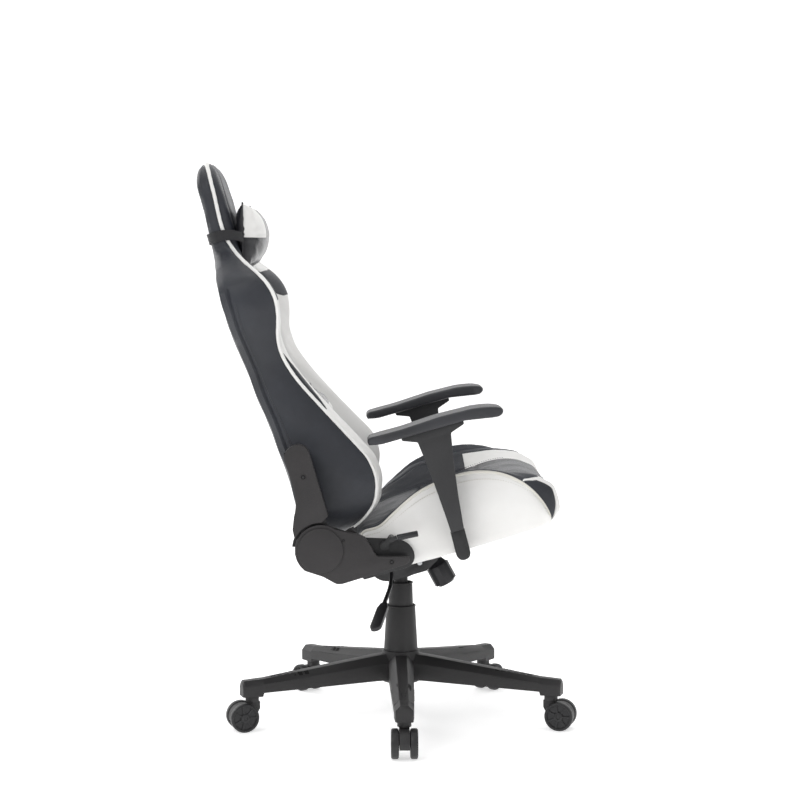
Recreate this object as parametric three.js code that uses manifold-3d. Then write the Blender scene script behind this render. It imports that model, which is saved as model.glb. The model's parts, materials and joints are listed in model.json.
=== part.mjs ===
// Gaming chair: racing-style bucket seat and back on a five-star base with a gas lift.
// Millimetres. +Z is up, +X is the front of the chair, +Y is the sitter's left.
// Built round the column axis, then moved so that the origin is the bottom centre of the box.
import * as THREE from "three";
import { mergeVertices } from "three/addons/utils/BufferGeometryUtils.js";
import Module from "manifold-3d";

const wasm = await Module();
wasm.setup();

// ---- Driving dimensions -------------------------------------------------------------------

const GAP = 0.5;                  // clearance between pieces that touch
const SLIDE_GAP = 0.6;            // clearance between pieces that slide or turn

// Base and castors
const SPOKE_COUNT = 5;
const FIRST_SPOKE_ANGLE = -90;    // degrees, one spoke points to the sitter's right
const STEM_RADIUS = 300;          // column axis to each castor stem
const SPOKE_TIP_MARGIN = 21;      // spoke beyond the stem axis
const WHEEL_RADIUS = 27.5;
const NECK_RISE = 11;             // gap between the top of the wheels and the spokes
const SPOKE_END_BOTTOM = 2 * WHEEL_RADIUS + NECK_RISE;
const SPOKE_END_TOP = SPOKE_END_BOTTOM + 32;
const SPOKE_END_WIDTH = 37;
const SPOKE_ROOT_BOTTOM = SPOKE_END_BOTTOM + 15;
const SPOKE_BOSS_DROP = 7;        // stem boss below the spoke's underside
const SPOKE_ROOT_WIDTH = 50;
const HUB_TOP = SPOKE_ROOT_BOTTOM + 55;
const HUB_RADIUS = 40;
const WHEEL_WIDTH = 14.7;
const WHEEL_FACETS = 24;
const CASTOR_WIDTH = 49.5;
const CASTOR_TRAIL = 19;
const STEM_DIAMETER = 11;
const STEM_DEPTH = 18;            // how far the stem enters the socket
const NECK_DIAMETER = 26;
const AXLE_DIAMETER = 6;
const AXLE_DEPTH = 7;             // how far the axle enters each wheel

// Column
const CYLINDER_DIAMETER = 40;
const CYLINDER_TOP = HUB_TOP + 64;
const PISTON_DIAMETER = 22;
const PISTON_BOTTOM = CYLINDER_TOP - 88;
const LOWER_COVER_TOP = HUB_TOP + 88;
const LOWER_COVER_FOOT_DIAMETER = 66;
const LOWER_COVER_TOP_DIAMETER = 56;
const MIDDLE_COVER_BOTTOM = LOWER_COVER_TOP - 49;
const MIDDLE_COVER_TOP = LOWER_COVER_TOP + 45;
const MIDDLE_COVER_FOOT_DIAMETER = 51;
const MIDDLE_COVER_TOP_DIAMETER = 45;
const UPPER_COVER_BOTTOM = MIDDLE_COVER_TOP - 38;
const UPPER_COVER_DIAMETER = PISTON_DIAMETER + 5;
const COVER_WALL = 2;

// Tilt mechanism
const TILT_AHEAD = 35;            // tilt pin ahead of the column axis
const SOCKET_BOTTOM = MIDDLE_COVER_TOP + 14;
const TILT_HEIGHT = SOCKET_BOTTOM + 32;
const TILT_PIN_DIAMETER = 10;
const HOUSING_HALF_WIDTH = 54;
const HOUSING_WALL = 4;
const SOCKET_HALF_WIDTH = HOUSING_HALF_WIDTH - HOUSING_WALL - 6;
const REST_LEAN = 16;             // degrees that the seat leans back at rest

// Seat, measured from the recline axis: x forward along the seat, z square to it
const RECLINE_BEHIND = 150.1;     // recline axis behind the column axis
const RECLINE_HEIGHT = TILT_HEIGHT + 58.9;
const SEAT_HALF_WIDTH = 258;
const SEAT_FOAM_BOTTOM = -58;
const SEAT_PAN_BOTTOM = -72;
const SEAT_FRONT = 444;
const SEAT_REAR = 64;
const BRACKET_THICKNESS = 5;
const BRACKET_Y = SEAT_HALF_WIDTH + 4;          // inner face of each seat bracket
const FOOT_THICKNESS = 4.5;

// Recliner and its covers
const RECLINER_RADIUS = 34;
const RECLINER_THICKNESS = 8;
const DISC_RADIUS = 46.6;
const HINGE_COVER_DEPTH = 14;
const HINGE_COVER_WALL = 2.5;
const UPPER_COVER_REACH = 12;     // how much deeper the upper cover is than the lower one
const DISC_CAP_RADIUS = 41;
const DISC_CAP_THICKNESS = 3;
const GRIP_DIAMETER = 11;
const GRIP_LENGTH = 38;

// Back
const SHOULDER_HALF_WIDTH = 268;
const WAIST_HALF_WIDTH = 236;
const HEAD_HALF_WIDTH = 142;
const SHOULDER_HEIGHT = 465;
const NECK_HEIGHT = SHOULDER_HEIGHT + 97;
const HEAD_LENGTH = 169;
const BACK_HEIGHT = NECK_HEIGHT + HEAD_LENGTH;
const FRAME_REAR = -18;           // rear face of the back frame
const FRAME_THICKNESS = 16;
const FRAME_RAIL = 22;

// Arms
const PAD_WIDTH = 86;
const PAD_BOTTOM = 156.5;
const BLADE_WIDTH = 12;
const BLADE_THICKNESS = 9;
const SLEEVE_THICKNESS = 32;
const SLEEVE_BOTTOM = -33;
const ARM_Y = SEAT_HALF_WIDTH + 15 + SLEEVE_THICKNESS / 2;      // middle of each arm
const BUTTON_TRAVEL = 2.5;

// ---- Materials ----------------------------------------------------------------------------

function material(color, roughness, metalness = 0) {
  return new THREE.MeshStandardMaterial({ color, roughness, metalness });
}

const plastic = material(0x3a393b, 0.6);
const satinPlastic = material(0x2c2c30, 0.45);
const blackLeather = material(0x2f3035, 0.42);
const whiteLeather = material(0xe9e9e7, 0.45);
const paintedSteel = material(0x1e1e20, 0.5, 0.4);
const steel = material(0x8a8c90, 0.35, 0.9);
const webbing = material(0x191919, 0.9);
const tread = material(0x262628, 0.7);

// ---- Geometry helpers ---------------------------------------------------------------------

const radians = THREE.MathUtils.degToRad;

function toSolid(geometry) {
  const bare = geometry.index ? geometry.toNonIndexed() : geometry.clone();
  bare.deleteAttribute("normal");
  bare.deleteAttribute("uv");
  const merged = mergeVertices(bare, 1e-4);
  const vertProperties = new Float32Array(merged.attributes.position.array);
  const triVerts = new Uint32Array(merged.index.array);
  return new wasm.Manifold(new wasm.Mesh({ numProp: 3, vertProperties, triVerts }));
}

function toGeometry(solid) {
  const mesh = solid.getMesh();
  const geometry = new THREE.BufferGeometry();
  geometry.setAttribute("position", new THREE.BufferAttribute(mesh.vertProperties, 3));
  geometry.setIndex(new THREE.BufferAttribute(mesh.triVerts, 1));
  geometry.computeVertexNormals();
  return geometry;
}

function join(...geometries) {
  const solids = geometries.map(toSolid);
  return toGeometry(solids.reduce((all, next) => all.add(next)));
}

function cut(geometry, ...tools) {
  const solids = tools.map(toSolid);
  return toGeometry(solids.reduce((left, tool) => left.subtract(tool), toSolid(geometry)));
}

function intersect(first, second) {
  return toGeometry(toSolid(first).intersect(toSolid(second)));
}

// Box from its lowest to its highest corner.
function block(low, high) {
  const size = high.map((value, axis) => value - low[axis]);
  const box = new THREE.BoxGeometry(...size);
  return box.translate(...high.map((value, axis) => (value + low[axis]) / 2));
}

// Solid of revolution about Z from [radius, z] pairs.
function turned(profile, segments = 32) {
  const points = profile.map(([radius, z]) => new THREE.Vector2(radius, z));
  return new THREE.LatheGeometry(points, segments).rotateX(Math.PI / 2);
}

// Round bar between two points.
function bar(from, to, diameter, segments = 16) {
  const start = new THREE.Vector3(...from);
  const along = new THREE.Vector3(...to).sub(start);
  const radius = diameter / 2;
  const geometry = new THREE.CylinderGeometry(radius, radius, along.length(), segments);
  const turn = new THREE.Quaternion();
  turn.setFromUnitVectors(new THREE.Vector3(0, 1, 0), along.clone().normalize());
  geometry.applyQuaternion(turn);
  return geometry.translate(...start.addScaledVector(along, 0.5).toArray());
}

function shapeFrom(points) {
  return new THREE.Shape(points.map(([u, v]) => new THREE.Vector2(u, v)));
}

// Outline in the side view (x, z), from y0 to y1.
function sidePlate(shape, y0, y1, curveSegments = 6) {
  const [low, high] = [Math.min(y0, y1), Math.max(y0, y1)];
  const options = { depth: high - low, bevelEnabled: false, curveSegments };
  return new THREE.ExtrudeGeometry(shape, options).rotateX(Math.PI / 2).translate(0, high, 0);
}

// Outline in the plan view (x, y), from z0 to z1.
function planPlate(shape, z0, z1, curveSegments = 6) {
  const options = { depth: z1 - z0, bevelEnabled: false, curveSegments };
  return new THREE.ExtrudeGeometry(shape, options).translate(0, 0, z0);
}

// Outline in the front view (y, z), from x0 to x1.
function frontPlate(shape, x0, x1, curveSegments = 6) {
  const options = { depth: x1 - x0, bevelEnabled: false, curveSegments };
  const plate = new THREE.ExtrudeGeometry(shape, options);
  return plate.rotateZ(Math.PI / 2).rotateY(Math.PI / 2).translate(x0, 0, 0);
}

function roundedRectangle(u0, v0, u1, v1, radius) {
  const shape = new THREE.Shape();
  shape.moveTo(u0 + radius, v0);
  shape.absarc(u1 - radius, v0 + radius, radius, -Math.PI / 2, 0);
  shape.absarc(u1 - radius, v1 - radius, radius, 0, Math.PI / 2);
  shape.absarc(u0 + radius, v1 - radius, radius, Math.PI / 2, Math.PI);
  shape.absarc(u0 + radius, v0 + radius, radius, Math.PI, Math.PI * 1.5);
  return shape;
}

// Closed skin through rings of points with the same count, its two ends flat.
// flat gives the two coordinates that the end rings are drawn in.
function loft(rings, flat) {
  const count = rings[0].length;
  const position = rings.flat(2);
  const index = [];
  for (let ring = 0; ring + 1 < rings.length; ring += 1) {
    for (let i = 0; i < count; i += 1) {
      const a = ring * count + i;
      const b = ring * count + ((i + 1) % count);
      index.push(a, b, b + count, a, b + count, a + count);
    }
  }
  const last = (rings.length - 1) * count;
  const ends = [[rings[0], 0, true], [rings[rings.length - 1], last, false]];
  for (const [ring, offset, flip] of ends) {
    const outline = ring.map((point) => new THREE.Vector2(point[flat[0]], point[flat[1]]));
    for (const triangle of THREE.ShapeUtils.triangulateShape(outline, [])) {
      const corners = flip ? triangle.reverse() : triangle;
      index.push(...corners.map((corner) => offset + corner));
    }
  }
  const geometry = new THREE.BufferGeometry();
  geometry.setAttribute("position", new THREE.Float32BufferAttribute(position, 3));
  geometry.setIndex(index);
  geometry.computeVertexNormals();
  return geometry;
}

// Even interpolation of one column of a station table; the first column is the distance.
function along(stations, column) {
  return (distance) => {
    const next = stations.findIndex((row) => row[0] >= distance);
    if (next === 0) return stations[0][column];
    if (next < 0) return stations[stations.length - 1][column];
    const [low, high] = [stations[next - 1], stations[next]];
    return THREE.MathUtils.mapLinear(distance, low[0], high[0], low[column], high[column]);
  };
}

// Flat strip that follows a path in the side view, half of its thickness on each side.
function strip(path, thickness, y0, y1) {
  const points = path.map(([x, z]) => new THREE.Vector2(x, z));
  const offset = (side) => points.map((point, i) => {
    const ahead = points[Math.min(i + 1, points.length - 1)].clone();
    const along = ahead.sub(points[Math.max(i - 1, 0)]).normalize();
    const normal = new THREE.Vector2(-along.y, along.x);
    return point.clone().addScaledVector(normal, side * thickness / 2);
  });
  const outline = [...offset(-1), ...offset(1).reverse()];
  return sidePlate(new THREE.Shape(outline), y0, y1);
}

function add(group, name, geometry, finish) {
  const mesh = new THREE.Mesh(geometry, finish);
  mesh.name = name;
  group.add(mesh);
  return mesh;
}

// ---- Base ---------------------------------------------------------------------------------

// Spoke section: flat top ridge with a chamfer down each side.
function spokeRing(radius, width, bottom, top) {
  const half = width / 2;
  const ridge = half * 0.45;
  const shoulder = top - (top - bottom) * 0.32;
  return [
    [radius, -half, bottom],
    [radius, half, bottom],
    [radius, half, shoulder],
    [radius, ridge, top],
    [radius, -ridge, top],
    [radius, -half, shoulder],
  ];
}

function spoke(angle) {
  const tip = STEM_RADIUS + SPOKE_TIP_MARGIN;
  const rings = [
    spokeRing(10, SPOKE_ROOT_WIDTH, SPOKE_ROOT_BOTTOM, HUB_TOP - 4),
    spokeRing(HUB_RADIUS + 15, SPOKE_ROOT_WIDTH - 2, SPOKE_ROOT_BOTTOM, HUB_TOP - 8),
    spokeRing(STEM_RADIUS - 19, SPOKE_END_WIDTH, SPOKE_END_BOTTOM + SPOKE_BOSS_DROP, SPOKE_END_TOP),
    spokeRing(STEM_RADIUS - 17, SPOKE_END_WIDTH, SPOKE_END_BOTTOM, SPOKE_END_TOP),
    spokeRing(tip - 3, SPOKE_END_WIDTH - 4, SPOKE_END_BOTTOM, SPOKE_END_TOP - 2),
    spokeRing(tip, SPOKE_END_WIDTH - 10, SPOKE_END_BOTTOM, SPOKE_END_TOP - 6),
  ];
  return loft(rings, [1, 2]).rotateZ(radians(angle));
}

function spokeAngle(number) {
  return FIRST_SPOKE_ANGLE + number * 360 / SPOKE_COUNT;
}

function stemPlace(number) {
  const angle = radians(spokeAngle(number));
  return [STEM_RADIUS * Math.cos(angle), STEM_RADIUS * Math.sin(angle)];
}

function starBase() {
  const hub = turned([
    [0, SPOKE_ROOT_BOTTOM - 6],
    [HUB_RADIUS - 4, SPOKE_ROOT_BOTTOM - 6],
    [HUB_RADIUS, SPOKE_ROOT_BOTTOM],
    [HUB_RADIUS - 4, HUB_TOP],
    [0, HUB_TOP],
  ], 24);
  const numbers = [...Array(SPOKE_COUNT).keys()];
  const body = join(hub, ...numbers.map((number) => spoke(spokeAngle(number))));
  const bore = CYLINDER_DIAMETER + 2 * GAP;
  const holes = [bar([0, 0, 0], [0, 0, HUB_TOP + 1], bore, 24)];
  for (const number of numbers) {
    const [x, y] = stemPlace(number);
    const floor = SPOKE_END_BOTTOM + STEM_DEPTH + 1;
    holes.push(bar([x, y, 0], [x, y, floor], STEM_DIAMETER + 2 * SLIDE_GAP, 12));
  }
  return cut(body, ...holes);
}

function gasCylinder() {
  const outer = CYLINDER_DIAMETER / 2;
  const inner = PISTON_DIAMETER / 2 + SLIDE_GAP;
  const bottom = SPOKE_ROOT_BOTTOM - 4;
  return turned([
    [0, bottom], [outer - 2, bottom], [outer, bottom + 4], [outer, CYLINDER_TOP],
    [inner, CYLINDER_TOP], [inner, bottom + 8], [0, bottom + 8],
  ], 24);
}

// Tapered tube, open at both ends.
function coverTube(bottom, top, footDiameter, topDiameter) {
  const foot = footDiameter / 2;
  const head = topDiameter / 2;
  return turned([
    [foot - COVER_WALL, bottom], [foot, bottom], [head, top],
    [head - COVER_WALL, top], [foot - COVER_WALL, bottom],
  ]);
}

// ---- Castors ------------------------------------------------------------------------------

// Wheel turned about its own axle, which becomes Y; one facet faces the floor.
function wheel(side) {
  const rim = WHEEL_RADIUS / Math.cos(Math.PI / WHEEL_FACETS);
  const bore = AXLE_DIAMETER / 2 + SLIDE_GAP;
  const inner = CASTOR_WIDTH / 2 - WHEEL_WIDTH;
  const outer = CASTOR_WIDTH / 2;
  const body = turned([
    [0, inner + AXLE_DEPTH + 1], [bore, inner + AXLE_DEPTH + 1], [bore, inner],
    [rim - 2, inner], [rim, inner + 2], [rim, outer - 4], [rim - 4, outer], [0, outer],
  ], WHEEL_FACETS);
  body.rotateZ(Math.PI / WHEEL_FACETS);
  return body.rotateX(side > 0 ? -Math.PI / 2 : Math.PI / 2);
}

// Hood between the wheels, with its stem and axle; the stem axis is x = y = 0.
function castorHood() {
  const half = CASTOR_WIDTH / 2 - WHEEL_WIDTH - SLIDE_GAP;
  const shape = new THREE.Shape();
  const neckHalf = NECK_DIAMETER / 2;
  const shoulder = SPOKE_END_BOTTOM - 10;
  shape.moveTo(-neckHalf, shoulder);
  shape.lineTo(-neckHalf, WHEEL_RADIUS + 15);
  shape.lineTo(-3, WHEEL_RADIUS - 3);
  shape.absarc(CASTOR_TRAIL, WHEEL_RADIUS, WHEEL_RADIUS - 2, radians(-15), radians(115));
  shape.lineTo(8, shoulder);
  const hood = sidePlate(shape, -half, half, 8);
  const top = SPOKE_END_BOTTOM - SLIDE_GAP;
  const neck = bar([0, 0, shoulder - 1], [0, 0, top], NECK_DIAMETER);
  const stem = bar([0, 0, shoulder - 6], [0, 0, SPOKE_END_BOTTOM + STEM_DEPTH], STEM_DIAMETER, 12);
  const reach = half + SLIDE_GAP + AXLE_DEPTH;
  const from = [CASTOR_TRAIL, -reach, WHEEL_RADIUS];
  const axle = bar(from, [CASTOR_TRAIL, reach, WHEEL_RADIUS], AXLE_DIAMETER, 12);
  return join(hood, neck, stem, axle);
}

function castor(number) {
  const group = new THREE.Group();
  group.position.set(...stemPlace(number), 0);
  group.rotation.z = radians(spokeAngle(number));
  const label = number + 1;
  add(group, `castor_hood_${label}`, castorHood(), plastic);
  for (const [letter, side] of [["a", -1], ["b", 1]]) {
    const turnedWheel = add(group, `castor_wheel_${label}_${letter}`, wheel(side), tread);
    turnedWheel.position.set(CASTOR_TRAIL, 0, WHEEL_RADIUS);
  }
  return group;
}

// ---- Column and tilt socket ---------------------------------------------------------------

// Socket on top of the piston: the seat's tilt pin goes through it.
function tiltSocket() {
  const profile = shapeFrom([
    [-30, SOCKET_BOTTOM + 6], [-16, SOCKET_BOTTOM], [12, SOCKET_BOTTOM + 2],
    [44, SOCKET_BOTTOM + 15], [44, TILT_HEIGHT + 12], [22, TILT_HEIGHT + 17],
    [-30, TILT_HEIGHT - 1],
  ]);
  const body = sidePlate(profile, -SOCKET_HALF_WIDTH, SOCKET_HALF_WIDTH);
  const bore = PISTON_DIAMETER + 2 * GAP;
  const pinHole = TILT_PIN_DIAMETER + 2 * GAP;
  const reach = SOCKET_HALF_WIDTH + 1;
  return cut(
    body,
    bar([0, 0, SOCKET_BOTTOM - 1], [0, 0, SOCKET_BOTTOM + 18], bore, 24),
    bar([TILT_AHEAD, -reach, TILT_HEIGHT], [TILT_AHEAD, reach, TILT_HEIGHT], pinHole),
  );
}

function tiltPin() {
  const reach = HOUSING_HALF_WIDTH + HOUSING_WALL + 3;
  const from = [TILT_AHEAD, -reach, TILT_HEIGHT];
  return bar(from, [TILT_AHEAD, reach, TILT_HEIGHT], TILT_PIN_DIAMETER);
}

// ---- Seat frame ---------------------------------------------------------------------------

// A point of the chair's own frame, given in the leaning seat's frame.
function inSeat(x, z) {
  const lean = radians(REST_LEAN);
  const forward = x + RECLINE_BEHIND;
  const up = z - RECLINE_HEIGHT;
  return [
    forward * Math.cos(lean) + up * Math.sin(lean),
    up * Math.cos(lean) - forward * Math.sin(lean),
  ];
}

const [TILT_X, TILT_Z] = inSeat(TILT_AHEAD, TILT_HEIGHT);
const PLATE_TOP = SEAT_PAN_BOTTOM - GAP;
const KNOB_AXIS = radians(12.5);  // forward of straight down, from the seat's normal
const KNOB_START = [TILT_X + 26, TILT_Z - 3];

function pointOnKnob(distance) {
  const [x, z] = KNOB_START;
  return [x + distance * Math.sin(KNOB_AXIS), 0, z - distance * Math.cos(KNOB_AXIS)];
}

// Folded plate under the seat, open below, with the tilt pin through its cheeks.
function tiltHousing() {
  const cheek = new THREE.Shape();
  cheek.moveTo(TILT_X - 98, PLATE_TOP - 2);
  cheek.lineTo(TILT_X - 90, TILT_Z - 4);
  cheek.quadraticCurveTo(TILT_X - 80, TILT_Z - 18, TILT_X - 62, TILT_Z - 19.5);
  cheek.lineTo(TILT_X + 8, TILT_Z - 19.5);
  cheek.lineTo(TILT_X + 34, TILT_Z - 6);
  cheek.lineTo(TILT_X + 50, PLATE_TOP - 22);
  cheek.lineTo(TILT_X + 90, PLATE_TOP - 2);
  const inner = HOUSING_HALF_WIDTH - HOUSING_WALL;
  const pieces = [-1, 1].map((side) => sidePlate(cheek, side * inner, side * HOUSING_HALF_WIDTH));
  const plate = roundedRectangle(TILT_X - 100, -95, TILT_X + 105, 95, 12);
  pieces.push(planPlate(plate, PLATE_TOP - HOUSING_WALL, PLATE_TOP));
  const front = shapeFrom([
    [TILT_X + 23, TILT_Z - 4], [TILT_X + 31, TILT_Z - 4],
    [TILT_X + 52, PLATE_TOP - 22], [TILT_X + 92, PLATE_TOP - 2],
    [TILT_X + 84, PLATE_TOP - 2], [TILT_X + 44, PLATE_TOP - 20],
  ]);
  pieces.push(sidePlate(front, -inner - 1, inner + 1));
  pieces.push(bar(pointOnKnob(-8), pointOnKnob(8), 26));
  const hole = TILT_PIN_DIAMETER + 2 * SLIDE_GAP;
  const reach = HOUSING_HALF_WIDTH + 1;
  const rod = LEVER_ROD_DIAMETER + 2 * SLIDE_GAP + 6;
  return cut(
    join(...pieces),
    bar([TILT_X, -reach, TILT_Z], [TILT_X, reach, TILT_Z], hole),
    bar([LEVER_X, -reach, LEVER_Z], [LEVER_X, 0, LEVER_Z], rod),
  );
}

// Fluted knob that sets the tilt spring.
function tensionKnob() {
  const flutes = 12;
  const shape = new THREE.Shape();
  for (let i = 0; i < flutes * 2; i += 1) {
    const angle = i * Math.PI / flutes;
    const radius = i % 2 ? 20.5 : 22.5;
    const [u, v] = [radius * Math.cos(angle), radius * Math.sin(angle)];
    if (i === 0) shape.moveTo(u, v);
    else shape.lineTo(u, v);
  }
  const options = { depth: 36, bevelEnabled: false };
  const grip = new THREE.ExtrudeGeometry(shape, options).translate(0, 0, 12);
  const neck = turned([[0, 0], [14, 0], [20, 12.5], [0, 12.5]], 24);
  const cap = turned([[0, 47], [19, 47], [16, 52], [0, 52]], 24);
  const knob = join(neck, grip, cap);
  knob.rotateY(Math.PI - KNOB_AXIS);
  const [x, y, z] = pointOnKnob(8 + SLIDE_GAP);
  return knob.translate(x, y, z);
}

// ---- Height lever -------------------------------------------------------------------------

const LEVER_ROD_DIAMETER = 8;
const [LEVER_X, LEVER_Z] = inSeat(-19, TILT_HEIGHT - 4);
const LEVER_LENGTH = 260;
const PADDLE_START = 178;
const [ROD_X, ROD_Z] = inSeat(-22, TILT_HEIGHT - 34);
const [PADDLE_X, PADDLE_Z] = inSeat(-34, TILT_HEIGHT - 58);
const [LEVER_TIP_X, LEVER_TIP_Z] = inSeat(-53, TILT_HEIGHT - 92);

function leverCollar() {
  const from = [LEVER_X, -HOUSING_HALF_WIDTH + 7, LEVER_Z];
  const to = [LEVER_X, -HOUSING_HALF_WIDTH - 8, LEVER_Z];
  const bore = LEVER_ROD_DIAMETER + 2 * SLIDE_GAP;
  const past = [LEVER_X, -HOUSING_HALF_WIDTH - 9, LEVER_Z];
  return cut(bar(from, to, LEVER_ROD_DIAMETER + 6), bar([LEVER_X, 0, LEVER_Z], past, bore, 12));
}

function leverRod() {
  const points = [
    [LEVER_X, -HOUSING_HALF_WIDTH + 8, LEVER_Z],
    [LEVER_X, -HOUSING_HALF_WIDTH - 10, LEVER_Z],
    [LEVER_X, -HOUSING_HALF_WIDTH - 22, LEVER_Z],
    [ROD_X, -HOUSING_HALF_WIDTH - 62, ROD_Z],
    [PADDLE_X, -PADDLE_START + 2, PADDLE_Z + 1],
  ].map((point) => new THREE.Vector3(...point));
  const route = new THREE.CatmullRomCurve3(points, false, "centripetal");
  const circle = new THREE.Shape().absarc(0, 0, LEVER_ROD_DIAMETER / 2, 0, Math.PI * 2);
  const options = { steps: 24, curveSegments: 6, extrudePath: route, bevelEnabled: false };
  return new THREE.ExtrudeGeometry(circle, options);
}

function leverPaddle() {
  const start = new THREE.Vector3(PADDLE_X, -PADDLE_START, PADDLE_Z);
  const end = new THREE.Vector3(LEVER_TIP_X, -LEVER_LENGTH, LEVER_TIP_Z);
  const direction = end.clone().sub(start);
  const length = direction.length();
  const outline = new THREE.Shape();
  outline.moveTo(-6, GAP);
  outline.lineTo(6, GAP);
  outline.lineTo(11, 16);
  outline.lineTo(11, length - 12);
  outline.quadraticCurveTo(10, length, 0, length);
  outline.quadraticCurveTo(-10, length, -11, length - 12);
  outline.lineTo(-11, 16);
  const options = { depth: 8, bevelEnabled: false, curveSegments: 5 };
  const paddle = new THREE.ExtrudeGeometry(outline, options).translate(0, 0, -4);
  paddle.rotateY(Math.PI / 2);
  const turn = new THREE.Quaternion();
  turn.setFromUnitVectors(new THREE.Vector3(0, 1, 0), direction.normalize());
  return paddle.applyQuaternion(turn).translate(...start.toArray());
}

// ---- Seat cushion and pan -----------------------------------------------------------------

// x, half width, side edge, bolster crest, middle of the seat, underside
const SEAT_STATIONS = [
  [SEAT_REAR, SEAT_HALF_WIDTH - 44, -4, -4, -10, SEAT_FOAM_BOTTOM + 6],
  [90, SEAT_HALF_WIDTH - 20, 6, 6, -6, SEAT_FOAM_BOTTOM],
  [120, SEAT_HALF_WIDTH - 10, 10, 14, -3, SEAT_FOAM_BOTTOM],
  [160, SEAT_HALF_WIDTH - 4, 31, 33, 0, SEAT_FOAM_BOTTOM],
  [200, SEAT_HALF_WIDTH, 49, 50, 4, SEAT_FOAM_BOTTOM],
  [250, SEAT_HALF_WIDTH, 57, 58, 9, SEAT_FOAM_BOTTOM],
  [300, SEAT_HALF_WIDTH, 55, 60, 14, SEAT_FOAM_BOTTOM],
  [345, SEAT_HALF_WIDTH, 42, 54, 17, SEAT_FOAM_BOTTOM],
  [380, SEAT_HALF_WIDTH - 2, 16, 46, 16, SEAT_FOAM_BOTTOM],
  [404, SEAT_HALF_WIDTH - 8, -18, 36, 10, SEAT_FOAM_BOTTOM],
  [425, SEAT_HALF_WIDTH - 28, -22, 18, 0, SEAT_FOAM_BOTTOM],
  [SEAT_FRONT, SEAT_HALF_WIDTH - 58, -30, -14, -16, SEAT_FOAM_BOTTOM + 10],
];
const SEAT_BOLSTER = 78;          // width of each side bolster

function seatRing([x, half, edge, crest, middle, underside]) {
  const right = [
    [x, -half + 8, underside],
    [x, -half, underside + 8],
    [x, -half, Math.max(edge - 10, underside + 12)],
    [x, -half + 9, Math.max(edge, underside + 16)],
    [x, -half + 34, crest],
    [x, -half + SEAT_BOLSTER, middle + 4],
    [x, -half + SEAT_BOLSTER + 50, middle],
  ];
  const left = right.map(([px, py, pz]) => [px, -py, pz]).reverse();
  return [...left, ...right].reverse();
}

function seatCushion() {
  return loft(SEAT_STATIONS.map(seatRing), [1, 2]);
}

function seatPan() {
  const inset = 22;
  const half = SEAT_HALF_WIDTH - inset;
  const outline = new THREE.Shape();
  outline.moveTo(SEAT_REAR + 14, -half + 30);
  outline.lineTo(SEAT_REAR + 60, -half);
  outline.lineTo(370, -half);
  outline.quadraticCurveTo(412, -half + 6, 414, -half + 60);
  outline.lineTo(414, half - 60);
  outline.quadraticCurveTo(412, half - 6, 370, half);
  outline.lineTo(SEAT_REAR + 60, half);
  outline.lineTo(SEAT_REAR + 14, half - 30);
  return planPlate(outline, SEAT_PAN_BOTTOM, SEAT_FOAM_BOTTOM - GAP, 5);
}

// ---- Recline hinge, one of each on both sides ---------------------------------------------

const RECLINER_Y = BRACKET_Y + BRACKET_THICKNESS + GAP;
const BACK_BRACKET_Y = RECLINER_Y + RECLINER_THICKNESS + GAP;
const HINGE_COVER_Y = BACK_BRACKET_Y + BRACKET_THICKNESS + SLIDE_GAP;
const HINGE_FACE_Y = HINGE_COVER_Y + HINGE_COVER_DEPTH;
const RECLINE_LEVER_X = 112;
const RECLINE_LEVER_Z = -27;
const RECLINE_GRIP_Z = -15;

// Steel plate from the recliner forward, with a foot under the seat pan.
function seatBracket(side) {
  const outline = new THREE.Shape();
  outline.moveTo(30, -RECLINER_RADIUS);
  outline.lineTo(60, SEAT_PAN_BOTTOM - GAP - FOOT_THICKNESS);
  outline.lineTo(140, SEAT_PAN_BOTTOM - GAP - FOOT_THICKNESS);
  outline.quadraticCurveTo(160, -74, 160, -52);
  outline.quadraticCurveTo(158, -30, 132, -20);
  outline.lineTo(84, -4);
  outline.lineTo(36, 14);
  outline.absarc(0, 0, RECLINER_RADIUS + 4, radians(24), radians(318));
  const upright = sidePlate(outline, side * BRACKET_Y, side * (BRACKET_Y + BRACKET_THICKNESS));
  const top = SEAT_PAN_BOTTOM - GAP;
  const reach = [side * 130, side * (BRACKET_Y + 1)];
  const foot = block(
    [62, Math.min(...reach), top - FOOT_THICKNESS],
    [138, Math.max(...reach), top],
  );
  return join(upright, foot);
}

function recliner(side) {
  const outer = RECLINER_Y + RECLINER_THICKNESS;
  return bar([0, side * RECLINER_Y, 0], [0, side * outer, 0], RECLINER_RADIUS * 2, 32);
}

function lowerCoverShape(inset) {
  const shape = new THREE.Shape();
  const radius = DISC_RADIUS - inset;
  shape.moveTo(37 - inset, 28 - inset);
  shape.absarc(0, 0, radius, radians(38), radians(216));
  shape.lineTo(-9 + inset, -47 + inset);
  shape.lineTo(7 + inset, -63 + inset);
  shape.quadraticCurveTo(12 + inset, -69 + inset, 24, -69 + inset);
  shape.lineTo(140 - inset, -67 + inset);
  shape.quadraticCurveTo(151 - inset, -64 + inset, 150 - inset, -56 - inset / 2);
  shape.lineTo(144 - inset, -53 - inset);
  shape.lineTo(96 - inset, -39 - inset);
  shape.quadraticCurveTo(91 - inset, -34 - inset, 90 - inset, -22 - inset);
  shape.lineTo(83 - inset, 1 - inset);
  shape.lineTo(76 - inset, 7 - inset);
  return shape;
}

function lowerCover(side) {
  const wall = HINGE_COVER_WALL;
  const body = sidePlate(lowerCoverShape(0), side * HINGE_COVER_Y, side * HINGE_FACE_Y);
  const from = side * (HINGE_COVER_Y - 1);
  return cut(body, sidePlate(lowerCoverShape(wall), from, side * (HINGE_FACE_Y - wall)));
}

function discCap(side) {
  const from = HINGE_FACE_Y + GAP;
  const to = from + DISC_CAP_THICKNESS;
  return bar([0, side * from, 0], [0, side * to, 0], DISC_CAP_RADIUS * 2, 32);
}

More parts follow.
